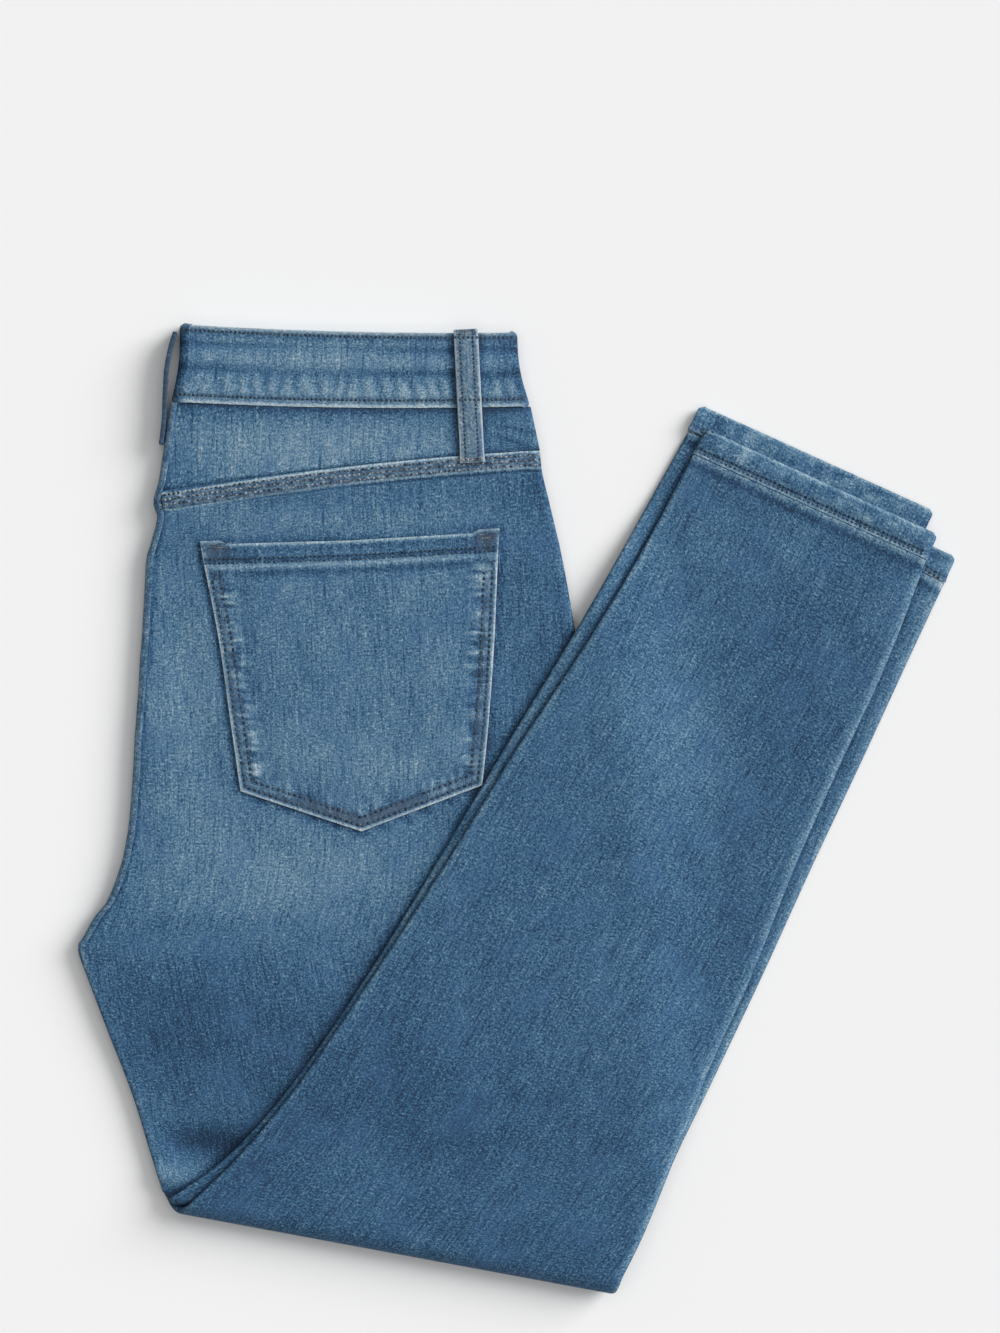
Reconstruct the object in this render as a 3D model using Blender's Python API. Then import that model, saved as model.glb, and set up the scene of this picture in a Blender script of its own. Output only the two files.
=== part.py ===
"""Skinny jeans, folded down the middle and again at mid thigh, lying flat with the right back on top.

Places on the table are in millimetres: X to the right, Y away from the viewer, both from the middle
of the folded pile. Heights inside the pile are told as a depth from the axis of the thigh fold, so
one section serves the seat, the turn and the leg that is folded back over it.
"""

import math
from collections import namedtuple

import bmesh
import bpy
from mathutils import Vector

MM = 0.001

# Middle of the folded pile on the table, which the model's origin lies under
PILE_MIDDLE = (-0.44, -0.48)

# Cloth
WALL = 1.4
HEM_WALL = 1.6
BAND_WALL = 2.4
STRIP_WALL = 1.0
SEAM_GAP = 0.3

# Depths of the layers from the fold axis, each to the middle of its wall
TOP_DEPTH = 2.2
FILL_DEPTHS = (3.3, 8.1)
FILL_STEP_DEPTHS = (3.6, 5.5)
FLOOR_DEPTH = 9.2
AXIS_HEIGHT = FLOOR_DEPTH + WALL / 2

# Rounded edge of a flattened leg: how thick it is between its walls' middles, how far it runs in from
# the outline, and where the layers inside start
EDGE_ROUND = 2.4
EDGE_RUN = 2.6
EDGE_LEAST_BACK = 0.6
EDGE_TUCK = 1.0
EDGE_BEND = ((0.75, 1.62), (0.0, 1.0), (0.75, 0.38))
FILL_INSET = 4.7
FILL_BEND = ((0.0, 1.5), (1.0, 0.5))
FILL_MOST_SHRINK = 0.4
EDGE_COLUMN = 8.0

# How the pile swells and settles
WAIST_RISE = 1.9
WAIST_RISE_LENGTH = 130.0
DOME = 1.4
DOME_FADE = 60.0
STACK_GAP = 0.5
FOLD_LOFT = 2.6
FOLD_LOFT_LENGTH = 50.0
RAMP_START = 9.0
RAMP_LENGTH = 55.0
HOLLOW_PLACE = (-161.8, -176.0)
HOLLOW_SIZE = (17.0, 10.0)
HOLLOW_DEPTH = 1.6
HOLLOW_FADE = 12.0
SWELL_DEPTHS = (3.0, 8.4)

# Trims
SEAM_RAISE = 0.7
FELL_WIDTH = 9.5
FELL_STEP = 1.2
HEM_DEPTH = 14.8
POCKET_WALL = 1.2
POCKET_RAISE = 0.5
LOOP_WALL = 1.6
LOOP_WIDTH = 12.6
LOOP_ARCH = 0.7
SEAT_STRIP_TOP = ((3.4, 0.0), (1.9, 0.1), (0.5, 0.9), (0.0, 2.2))
SEAT_STRIP_LOW = ((0.0, 1.4), (0.3, 0.5))
SEAT_STRIP_LIFT = 0.9

# Waistband quarter: corners on the table, heights of its four layers
BAND_CORNERS = {"top_left": (-177.6, 253.6), "top_right": (-0.1, 249.2),
                "low_left": (-182.0, 213.0), "low_right": (6.8, 210.6)}
BAND_TOP_BOW = 1.7
BAND_LOW_BOW = -2.0
BAND_LAYER_STEP = 3.0
BAND_EDGE_SHARE = 0.62
BAND_ROWS = (0.0, 0.05, 0.35, 0.65, 0.95, 1.0)

# Grid counts
ACROSS = 11
USUAL_WIDTH = 200.0
TURN_STEPS = 7
YOKE_STEPS = 3
SEAT_STEPS = 1
LEG_STEPS = 2

# The lower half of the pile, from the waist to the thigh fold. The edges are the outline seen from
# above, bow is how far the row's middle lies up the picture, strip is 1 where the seat seam wraps.
Row = namedtuple("Row", "left_x left_y right_x right_y bow strip")
SEAT_ROWS = (
    Row(-189.0, 157.5, 12.2, 178.0, 2.4, 1),
    Row(-194.5, 132.4, 21.8, 138.7, 1.2, 1),
    Row(-196.6, 100.8, 28.9, 100.8, 0.0, 1),
    Row(-200.3, 46.1, 37.6, 43.9, 0.0, 1),
    Row(-204.7, -12.9, 44.5, -12.9, 0.0, 1),
    Row(-213.4, -44.5, 47.1, -43.4, 0.0, 1),
    Row(-222.4, -58.0, 47.7, -57.0, 0.0, 1),
    Row(-231.6, -72.4, 48.7, -73.9, 0.0, 1),
    Row(-226.1, -95.0, 49.2, -97.1, 0.0, 0),
    Row(-213.9, -120.3, 50.3, -125.0, 0.0, 0),
    Row(-201.8, -151.8, 51.8, -164.5, 0.0, 0),
    Row(-193.9, -180.3, 53.0, -206.6, 0.0, 0),
    Row(-187.0, -200.8, 53.4, -245.5, 0.0, 0),
)

# The upper half, from the thigh fold to the top leg's hem. left_show and right_show are how far the
# under leg shows beside the top leg.
LegRow = namedtuple("LegRow", "left_x left_y right_x right_y left_show right_show")
LEG_ROWS = (
    LegRow(-169.2, -204.2, 57.4, -245.7, 10.0, 0.2),
    LegRow(-145.0, -180.8, 69.7, -221.3, 4.4, 0.2),
    LegRow(-113.4, -142.4, 83.4, -184.5, 2.8, 0.5),
    LegRow(-74.5, -85.5, 100.3, -139.7, 2.6, 4.5),
    LegRow(-38.2, -29.7, 122.9, -88.2, 4.4, 5.4),
    LegRow(1.1, 33.9, 147.1, -27.6, 5.6, 8.5),
    LegRow(36.1, 86.6, 171.3, 26.6, 8.2, 9.7),
    LegRow(66.1, 136.6, 193.9, 76.1, 9.0, 9.9),
    LegRow(92.1, 185.3, 213.7, 128.2, 7.4, 14.0),
)

# How far the under leg lies past the top leg along it, at its left and right edge and on its front
UNDER_LEG_SLIP = (10.2, -4.6)
SLIP_START = 0.8
FRONT_HEM_SLIP = 10.2
FRONT_HEM_ENDS = (-2.9, -7.0)
FRONT_HEM_DEPTH = 4.6
TOP_HEM_DEPTHS = (6.8, 9.4)
UNDER_HEM_ROUND = 2.6

YOKE_TOP = Row(-182.1, 212.7, 6.9, 210.3, BAND_LOW_BOW, 1)
YOKE_LOW = Row(-189.0, 165.9, 11.7, 187.6, 2.4, 1)

# The right back pocket: rows of its outline from the hem to the corners, then the point
PocketRow = namedtuple("PocketRow", "left_x left_y right_x right_y point")
POCKET_ROWS = (
    PocketRow(-166.4, 139.6, -9.4, 146.4, -1.2),
    PocketRow(-164.3, 127.6, -10.2, 134.7, -0.8),
    PocketRow(-156.6, 88.2, -12.2, 88.2, 0.0),
    PocketRow(-150.3, 44.0, -15.0, 47.2, -6.0),
    PocketRow(-145.2, 8.8, -18.5, 12.0, -22.6),
)

POCKET_STEPS = (0.0, 0.9, 1.1, 2.0, 2.5, 3.0, 3.5, 4.0)
POCKET_ACROSS = 12

# The belt loops: middle line of the strap, from the waistband's top edge to the yoke
BACK_LOOP = ((-27.2, 251.0), (-23.6, 180.6))
CENTRE_LOOP = ((-179.7, 249.4), (-182.0, 242.0), (-184.2, 231.0), (-185.1, 218.0),
               (-185.6, 204.0), (-187.1, 191.0))
CENTRE_LOOP_LEAN = 0.08
LOOP_STEPS = 12
LOOP_LEAVES_BAND = 0.52
LOOP_STEPS_DOWN = 0.2

# The cloth's colours: name, base colour, roughness
Finish = namedtuple("Finish", "red green blue roughness")
FINISHES = {
    "denim_body": Finish(0.110, 0.200, 0.290, 0.92),
    "denim_faded": Finish(0.140, 0.235, 0.325, 0.92),
    "denim_trim": Finish(0.190, 0.265, 0.345, 0.90),
}


def smooth(value):
    """Ease from 0 to 1."""
    value = max(0.0, min(1.0, value))
    return value * value * (3.0 - 2.0 * value)


def mix(start, end, share):
    """Value between two others."""
    return start + (end - start) * share


def curve(rows, place):
    """Row at a place along a table, on a smooth curve through its rows."""
    last = len(rows) - 1
    index = min(int(place), last - 1)
    share = place - index
    before, here = rows[max(index - 1, 0)], rows[index]
    after, beyond = rows[index + 1], rows[min(index + 2, last)]
    fields = []
    for a, b, c, d in zip(before, here, after, beyond):
        lead, follow = (c - a) / 2, (d - b) / 2
        steep = 3 * (c - b) - 2 * lead - follow
        bend = lead + follow - 2 * (c - b)
        fields.append(b + share * (lead + share * (steep + share * bend)))
    return type(here)(*fields)


def along_edge(edge, y):
    """Where an edge, a list of places from the waist down, lies at one distance up the picture."""
    for (here_x, here_y), (after_x, after_y) in zip(edge, edge[1:]):
        if after_y <= y <= here_y:
            return mix(here_x, after_x, (here_y - y) / (here_y - after_y))
    return edge[0][0] if y > edge[0][1] else edge[-1][0]


def edge_at(y):
    """Left and right edge of the lower half at one distance up the picture."""
    return (along_edge([(row.left_x, row.left_y) for row in SEAT_ROWS], y),
            along_edge([(row.right_x, row.right_y) for row in SEAT_ROWS], y))


FOLD_LEFT = Vector((SEAT_ROWS[-1].left_x, SEAT_ROWS[-1].left_y))
FOLD_RIGHT = Vector((SEAT_ROWS[-1].right_x, SEAT_ROWS[-1].right_y))
FOLD_ALONG = (FOLD_RIGHT - FOLD_LEFT).normalized()
FOLD_OUT = Vector((FOLD_ALONG.y, -FOLD_ALONG.x))


def fold_distance(x, y):
    """Distance up the pile from the thigh fold's axis."""
    return -(Vector((x, y)) - FOLD_LEFT).dot(FOLD_OUT)


def swell(x, y):
    """How far the top of the lower half rises above its level height."""
    left_x, right_x = edge_at(y)
    middle, half = (left_x + right_x) / 2, (right_x - left_x) / 2
    across = max(-1.0, min(1.0, (x - middle) / half))
    waist = WAIST_RISE * (1 - smooth((YOKE_TOP.left_y - y) / WAIST_RISE_LENGTH))
    near_fold = smooth(fold_distance(x, y) / DOME_FADE)
    dome = DOME * (1 - across * across) * near_fold
    spread = ((x - HOLLOW_PLACE[0]) / HOLLOW_SIZE[0]) ** 2 + ((y - HOLLOW_PLACE[1]) / HOLLOW_SIZE[1]) ** 2
    hollow = HOLLOW_DEPTH * math.exp(-spread) * smooth(fold_distance(x, y) / HOLLOW_FADE)
    return waist + dome - hollow


def share_of_swell(depth):
    """The top panel takes the whole swell, the floor panel none of it."""
    start, end = SWELL_DEPTHS
    return 1 - smooth((depth - start) / (end - start))


def low_height(x, y, depth):
    """Height of a layer in the lower half."""
    return AXIS_HEIGHT - depth + share_of_swell(depth) * swell(x, y)


def high_base(x, y):
    """Height of the upper half's underside: on the lower half, then down a ramp to the table."""
    beside = x - edge_at(y)[1] - RAMP_START
    ramp = smooth(beside / RAMP_LENGTH)
    on_stack = AXIS_HEIGHT - TOP_DEPTH + WALL / 2 + STACK_GAP + max(0.0, swell(x, y))
    loft = FOLD_LOFT * (1 - smooth(fold_distance(x, y) / FOLD_LOFT_LENGTH))
    return (on_stack + loft) * (1 - ramp)


def high_height(x, y, depth):
    """Height of a layer in the upper half."""
    return high_base(x, y) + depth - (TOP_DEPTH - WALL / 2)


def row_point(row, share, offset=0.0):
    """Place on the table along a row, shifted along it, in millimetres."""
    left, right = Vector((row.left_x, row.left_y)), Vector((row.right_x, row.right_y))
    along = share + offset / (right - left).length
    bow = getattr(row, "bow", 0.0)
    return left + (right - left) * along + Vector((0.0, bow * 4 * along * (1 - along)))


def up_leg(row):
    """Direction on the table from a row towards the next one up the leg."""
    along = Vector((row.right_x - row.left_x, row.right_y - row.left_y)).normalized()
    return Vector((-along.y, along.x))


def spot(x, y, height):
    """Point of the model, in metres, from its place on the table and its height."""
    return Vector((x - PILE_MIDDLE[0], y - PILE_MIDDLE[1], max(height, 0.0))) * MM


class Station:
    """One section of the jeans: where its row lies and how depth turns into a place."""

    def __init__(self, kind, row, left_show=0.0, right_show=0.0, angle=0.0, slip=(0.0, 0.0)):
        self.kind = kind
        self.row = row
        self.shows = (left_show, right_show)
        self.angle = angle
        self.slip = slip

    def place(self, share, offset, depth):
        """Point of the section, in metres."""
        point = row_point(self.row, share, offset)
        if self.kind == "low":
            height = low_height(point.x, point.y, depth)
        elif self.kind == "turn":
            height = AXIS_HEIGHT - depth * math.cos(self.angle)
            point = point + FOLD_OUT * depth * math.sin(self.angle)
        else:
            point = point + up_leg(self.row) * mix(self.slip[0], self.slip[1], share)
            height = high_height(point.x, point.y, depth)
        return spot(point.x, point.y, height)


def low_stations(rows, steps):
    """Sections of the lower half, through a table's rows."""
    count = (len(rows) - 1) * steps
    return [Station("low", curve(rows, index / steps)) for index in range(count + 1)]


def turn_stations():
    """Sections round the thigh fold, between the two halves."""
    start, end = SEAT_ROWS[-1], LEG_ROWS[0]
    stations = []
    for step in range(1, TURN_STEPS):
        share = step / TURN_STEPS
        row = Row(mix(start.left_x, end.left_x, share), mix(start.left_y, end.left_y, share),
                  mix(start.right_x, end.right_x, share), mix(start.right_y, end.right_y, share), 0.0, 0)
        stations.append(Station("turn", row, mix(0.0, end.left_show, smooth(share)),
                                mix(0.0, end.right_show, share), math.pi * share))
    return stations


def leg_stations():
    """Sections of the upper half, from the fold to where the top leg's hem starts."""
    count = (len(LEG_ROWS) - 1) * LEG_STEPS
    stations = []
    for index in range(count + 1):
        row = curve(LEG_ROWS, index / LEG_STEPS)
        stations.append(Station("high", row, row.left_show, row.right_show))
    return stations


def beyond(station, distance):
    """A section further along the leg than another, in millimetres."""
    moved = shifted(station.row, up_leg(station.row), distance)
    return Station(station.kind, moved, *station.shows, slip=station.slip)


def thicken(line, wall):
    """Both skins of a section line, from (share, offset, depth) points."""
    skins = []
    for side in (-1, 1):
        skin = []
        for index, point in enumerate(line):
            before, after = line[max(index - 1, 0)], line[min(index + 1, len(line) - 1)]
            run = (after[1] - before[1]) + (after[0] - before[0]) * USUAL_WIDTH
            fall = after[2] - before[2]
            length = math.hypot(run, fall)
            push = side * wall / 2
            skin.append((point[0], point[1] - push * fall / length, point[2] + push * run / length))
        skins.append(skin)
    return skins


def edge_hook(share, side, outer, depth, inward, back_run, edge_round):
    """Section line round one edge of a flattened leg, from its outer end towards the panel.

    side is 1 at the left edge and -1 at the right; outer is how far the outline lies beyond the row,
    inward is 1 where the leg's inside lies deeper than the panel and -1 where it lies shallower.
    """
    half = edge_round / 2
    back = EDGE_RUN + max(back_run, EDGE_LEAST_BACK)
    bend = [(back, 2.0), (EDGE_RUN, 2.0), *EDGE_BEND, (EDGE_RUN, 0.0), (back, 0.0)]
    hook = [(share, side * (inset - outer), depth + inward * drop * half) for inset, drop in bend]
    return hook + [(share, side * EDGE_COLUMN, depth)]


def panel_line(station, depth, inward, wall, covers, edge_round=EDGE_ROUND, lift=0.0, tuck=True):
    """Section line of a back panel: a hook at each edge and level cloth between them.

    covers is true for the leg that lies under the other and shows beside it, and tuck for one whose
    left edge turns back as far as the leg above it.
    """
    shows = station.shows if covers else (0.0, 0.0)
    left_outer = shows[0] - wall / 2 - strip_of(station)
    right_outer = shows[1] - wall / 2
    depth = depth - inward * lift
    left_back = shows[0] + EDGE_TUCK - EDGE_RUN if tuck else 0.0
    right_back = shows[1] + EDGE_TUCK - EDGE_RUN
    left = edge_hook(0.0, 1, left_outer, depth, inward, left_back, edge_round)
    right = edge_hook(1.0, -1, right_outer, depth, inward, right_back, edge_round)
    line = list(left)
    for column in range(1, ACROSS):
        line.append((column / ACROSS, 0.0, depth))
    line.extend(reversed(right))
    return line


def top_panel_line(station, lift=0.0):
    """Section line of the back that lies on top of the lower half."""
    return panel_line(station, TOP_DEPTH, 1, WALL, True, lift=lift)


def floor_panel_line(station):
    """Section line of the back that the lower half rests on."""
    return panel_line(station, FLOOR_DEPTH, -1, WALL, False)


def fill_line(station, upper):
    """Section outline of the inner layers, as two rows of points over each other."""
    near, far = FILL_DEPTHS if upper else FILL_STEP_DEPTHS
    most = (far - near) * FILL_MOST_SHRINK
    left_inset = FILL_INSET + strip_of(station)
    columns = [(0.0, left_inset + inset, shrink) for inset, shrink in FILL_BEND]
    columns.append((0.0, EDGE_COLUMN, 0.0))
    columns += [(column / ACROSS, 0.0, 0.0) for column in range(1, ACROSS)]
    columns.append((1.0, -EDGE_COLUMN, 0.0))
    columns += [(1.0, -FILL_INSET - inset, shrink) for inset, shrink in reversed(FILL_BEND)]
    top = [(share, offset, near + min(shrink, most)) for share, offset, shrink in columns]
    low = [(share, offset, far - min(shrink, most)) for share, offset, shrink in columns]
    return top, low


def make_object(name, points, faces, finish):
    """One named solid from its points and faces."""
    bm = bmesh.new()
    verts = [bm.verts.new(point) for point in points]
    for face in faces:
        bm.faces.new([verts[index] for index in face])
    bmesh.ops.recalc_face_normals(bm, faces=bm.faces[:])
    mesh = bpy.data.meshes.new(name)
    bm.to_mesh(mesh)
    bm.free()
    mesh.shade_smooth()
    mesh.set_sharp_from_angle(angle=math.radians(50))
    mesh.materials.append(make_material(finish))
    item = bpy.data.objects.new(name, mesh)
    bpy.context.scene.collection.objects.link(item)
    return item


def make_material(name):
    """Shared cloth material by name."""
    known = bpy.data.materials.get(name)
    if known:
        return known
    finish = FINISHES[name]
    material = bpy.data.materials.new(name)
    material.use_nodes = True
    shader = material.node_tree.nodes["Principled BSDF"]
    shader.inputs["Base Color"].default_value = (finish.red, finish.green, finish.blue, 1.0)
    shader.inputs["Roughness"].default_value = finish.roughness
    shader.inputs["Metallic"].default_value = 0.0
    return material


def wall_solid(name, first, second, finish, ring=False):
    """Closed wall between two skins, each a list of rows of points; ring joins each row's ends."""
    rows, columns = len(first), len(first[0])
    points = [point for skin in (first, second) for row in skin for point in row]
    spans = columns if ring else columns - 1
    faces = []

    def face(*corners):
        faces.append([(side * rows + row) * columns + column % columns for side, row, column in corners])

    for row in range(rows - 1):
        for column in range(spans):
            for side in (0, 1):
                face((side, row, column), (side, row, column + 1),
                     (side, row + 1, column + 1), (side, row + 1, column))
        for column in () if ring else (0, columns - 1):
            face((0, row, column), (0, row + 1, column), (1, row + 1, column), (1, row, column))
    for row in (0, rows - 1):
        for column in range(spans):
            face((0, row, column), (0, row, column + 1), (1, row, column + 1), (1, row, column))
    return make_object(name, points, faces, finish)


def panel_solid(name, stations, line_of, wall, finish):
    """Panel through its stations, from a function that gives each station's section line."""
    skins = ([], [])
    for station in stations:
        for skin, line in zip(skins, thicken(line_of(station), wall)):
            skin.append([station.place(*point) for point in line])
    return wall_solid(name, *skins, finish)


def strip_of(station):
    """Room that the seat seam's strip takes outside the panels' edge."""
    return (STRIP_WALL + SEAM_GAP) * min(1.0, max(0.0, getattr(station.row, "strip", 0.0)))


def fell_stations():
    """Sections of the felled yoke seam: its start, its end, and level cloth past its step."""
    down = Vector((0.1, -1.0)).normalized()
    return [Station("low", shifted(YOKE_LOW, down, distance))
            for distance in (SEAM_GAP, FELL_WIDTH - 0.8, FELL_WIDTH + FELL_STEP)]


def shifted(row, direction, distance):
    """A row moved across the table."""
    step = direction * distance
    return row._replace(left_x=row.left_x + step.x, left_y=row.left_y + step.y,
                        right_x=row.right_x + step.x, right_y=row.right_y + step.y)


def build_backs():
    """Both back panels, each from the yoke seam round the thigh fold to its hem."""
    fell = fell_stations()
    raised = fell[:2]
    lower = low_stations(SEAT_ROWS, SEAT_STEPS)[1:]
    turn = turn_stations()
    leg = leg_stations()

    def right_line(station):
        return top_panel_line(station, SEAM_RAISE if station in raised else 0.0)

    panel_solid("back_right", fell + lower + turn + under_leg(leg), right_line, WALL, "denim_body")
    panel_solid("back_left", fell + lower + turn + leg, floor_panel_line, WALL, "denim_body")


def under_leg(leg):
    """The leg stations, slipped along the leg near its hem as the under leg lies."""
    count = len(leg) - 1
    stations = []
    for index, station in enumerate(leg):
        share = smooth((index - count * SLIP_START) / (count * (1 - SLIP_START)))
        slip = (UNDER_LEG_SLIP[0] * share, UNDER_LEG_SLIP[1] * share)
        stations.append(Station(station.kind, station.row, *station.shows, slip=slip))
    return stations


def build_yokes():
    """Both halves of the yoke, between the waistband and the felled seam."""
    stations = low_stations((YOKE_TOP, YOKE_LOW), YOKE_STEPS)
    panel_solid("yoke_right", stations, top_panel_line, WALL, "denim_faded")
    panel_solid("yoke_left", stations, floor_panel_line, WALL, "denim_faded")


def build_inner_layers():
    """The two fronts between the backs, as one rounded solid that steps down under the top hem."""
    yoke = low_stations((YOKE_TOP, YOKE_LOW), YOKE_STEPS)
    lower = low_stations(SEAT_ROWS, SEAT_STEPS)[1:]
    whole = yoke[:-1] + fell_stations() + lower + turn_stations() + leg_stations()
    end = whole[-1]
    stations = [(station, True) for station in whole]
    stations += [(beyond(end, distance), False) for distance in
                 (SEAM_GAP / 2, FRONT_HEM_SLIP / 2, FRONT_HEM_SLIP - SEAM_GAP)]
    skins = ([], [])
    for station, upper in stations:
        for skin, line in zip(skins, fill_line(station, upper)):
            skin.append([station.place(*point) for point in line])
    wall_solid("inner_layers", *skins, "denim_body")


def build_hems():
    """Hem of the top leg, a flattened tube, and the front and back of the under leg's hem."""
    end = leg_stations()[-1]
    distances = (SEAM_GAP, HEM_DEPTH / 2, HEM_DEPTH)
    loop = tube_line(*TOP_HEM_DEPTHS, HEM_WALL)
    skins = ([], [])
    for distance in distances:
        station = beyond(end, distance)
        for skin, line in zip(skins, thicken_loop(loop, HEM_WALL)):
            skin.append([station.place(*point) for point in line])
    wall_solid("hem_left", *skins, "denim_trim", ring=True)

    under = under_leg(leg_stations())[-1]
    panel_solid("hem_right_back", [beyond(under, distance) for distance in distances],
                under_hem_line, HEM_WALL, "denim_trim")
    panel_solid("hem_right_front", [beyond(end, FRONT_HEM_SLIP + distance) for distance in distances],
                front_hem_line, HEM_WALL, "denim_trim")


def under_hem_line(station):
    """Section line of the under leg's back hem, which is turned up at both its edges."""
    depth = TOP_DEPTH + (HEM_WALL - WALL) / 2
    return panel_line(station, depth, 1, HEM_WALL, True, UNDER_HEM_ROUND, tuck=False)


def front_hem_line(station):
    """Section line of the under leg's front hem, level between its two ends."""
    start, end = FRONT_HEM_ENDS
    inner = [(column / ACROSS, 0.0, FRONT_HEM_DEPTH) for column in range(1, ACROSS)]
    return [(0.0, start, FRONT_HEM_DEPTH)] + inner + [(1.0, end, FRONT_HEM_DEPTH)]


def tube_line(near, far, wall):
    """Closed section line of a flattened tube as wide as the row."""
    half, middle = (far - near) / 2, (near + far) / 2
    bend = ((0.4 * half, 0.7 * half), (1.6 * half, half))
    lower = [(0.0, wall / 2 + inset, middle - drop) for inset, drop in bend]
    lower += [(column / ACROSS, 0.0, near) for column in range(1, ACROSS)]
    lower += [(1.0, -wall / 2 - inset, middle - drop) for inset, drop in reversed(bend)]
    upper = [(share, offset, near + far - depth) for share, offset, depth in reversed(lower)]
    return [(0.0, wall / 2, middle)] + lower + [(1.0, -wall / 2, middle)] + upper


def thicken_loop(line, wall):
    """Both skins of a closed section line."""
    count = len(line)
    open_line = [line[-1]] + list(line) + [line[0]]
    skins = thicken(open_line, wall)
    return [skin[1:count + 1] for skin in skins]


def band_point(across, down, height):
    """Place on the waistband: across and down run from 0 to 1 over its quarter."""
    corners = {name: Vector(place) for name, place in BAND_CORNERS.items()}
    top = corners["top_left"].lerp(corners["top_right"], across)
    low = corners["low_left"].lerp(corners["low_right"], across)
    crown = 4 * across * (1 - across)
    top.y -= BAND_TOP_BOW * crown
    low.y += BAND_LOW_BOW * crown
    point = top.lerp(low, down)
    return spot(point.x, point.y, height)


def band_path():
    """Closed line of the folded waistband, as (distance across, height) from its left fold."""
    width = (Vector(BAND_CORNERS["low_right"]) - Vector(BAND_CORNERS["low_left"])).length
    levels = [BAND_WALL / 2 + BAND_LAYER_STEP * index for index in range(4)]
    small = BAND_LAYER_STEP / 2
    big = (levels[3] - levels[0]) / 2
    front_fold = BAND_WALL * 1.5 + 1.0 + small
    path = []

    def level(start, end, height, steps):
        for step in range(steps + 1):
            path.append((mix(start, end, step / steps), height))

    def turn(centre, height, radius, start, end, steps):
        for step in range(1, steps):
            angle = math.radians(mix(start, end, step / steps))
            path.append((centre + radius * math.cos(angle), height + radius * math.sin(angle)))

    left_end = BAND_WALL / 2 + big
    right_end = width - BAND_WALL / 2 - small
    level(right_end, left_end, levels[3], 8)
    turn(left_end, (levels[0] + levels[3]) / 2, big, 90, 270, 6)
    level(left_end, right_end, levels[0], 8)
    turn(right_end, (levels[0] + levels[1]) / 2, small, -90, 90, 4)
    level(right_end, front_fold, levels[1], 6)
    turn(front_fold, (levels[1] + levels[2]) / 2, small, 270, 90, 4)
    level(front_fold, right_end, levels[2], 6)
    turn(right_end, (levels[2] + levels[3]) / 2, small, -90, 90, 4)
    return path, width


def build_waistband():
    """The waistband, one closed loop folded in four."""
    path, width = band_path()
    line = [(0.0, across, height) for across, height in path]
    skins = ([], [])
    for down in BAND_ROWS:
        edge = 1.0 if 0.0 < down < 1.0 else BAND_EDGE_SHARE
        for skin, loop in zip(skins, thicken_loop(line, BAND_WALL * edge)):
            skin.append([band_point(point[1] / width, down, point[2]) for point in loop])
    wall_solid("waistband", *skins, "denim_faded", ring=True)


def build_seat_seam():
    """The felled seat seam, wrapped round the left edge from the waistband to the crotch."""
    wrapped = len([row for row in SEAT_ROWS if row.strip])
    fell = fell_stations()
    above = Station("low", shifted(YOKE_LOW, Vector((0.0, 1.0)), 1.5))
    stations = low_stations((YOKE_TOP, YOKE_LOW), 2)[:-1] + [above] + fell
    stations += low_stations(SEAT_ROWS, SEAT_STEPS)[1:(wrapped - 1) * SEAT_STEPS + 1]
    bump = [above] + fell[:2]
    half = STRIP_WALL / 2

    def line_of(station):
        top = TOP_DEPTH - WALL / 2 - SEAM_GAP - half - (SEAM_RAISE if station in bump else 0.0)
        low = FLOOR_DEPTH - SEAT_STRIP_LIFT
        bend = [(inset, top + down) for inset, down in SEAT_STRIP_TOP]
        bend.append((0.0, (TOP_DEPTH + FLOOR_DEPTH) / 2))
        bend += [(inset, low - up) for inset, up in SEAT_STRIP_LOW]
        return [(0.0, half + inset, depth) for inset, depth in bend]

    panel_solid("seat_seam", stations, line_of, STRIP_WALL, "denim_trim")


def build_pocket():
    """The right back pocket, a patch on the panel with its doubled hem raised."""
    skins = ([], [])
    for step in POCKET_STEPS:
        row = curve(POCKET_ROWS, step)
        lift = POCKET_RAISE if step < 1.0 else 0.0
        upper, lower = [], []
        for column in range(POCKET_ACROSS + 1):
            share = column / POCKET_ACROSS
            x = mix(row.left_x, row.right_x, share)
            y = mix(row.left_y, row.right_y, share) + row.point * (1 - abs(2 * share - 1))
            base = low_height(x, y, TOP_DEPTH - WALL / 2) + SEAM_GAP
            lower.append(spot(x, y, base + lift / 2))
            upper.append(spot(x, y, base + POCKET_WALL + lift))
        skins[0].append(upper)
        skins[1].append(lower)
    wall_solid("pocket_right", *skins, "denim_faded")


def strap_solid(name, line, across, wall, finish):
    """Flat strap along a line of places, across is its half width direction at every place."""
    first, second = [], []
    for index, place in enumerate(line):
        before, after = line[max(index - 1, 0)], line[min(index + 1, len(line) - 1)]
        out = across.cross(after - before).normalized()
        sides = [place + across * side for side in (-1.0, -0.5, 0.0, 0.5, 1.0)]
        first.append([side + out * wall / 2 for side in sides])
        second.append([side - out * wall / 2 for side in sides])
    return wall_solid(name, first, second, finish)


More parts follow.
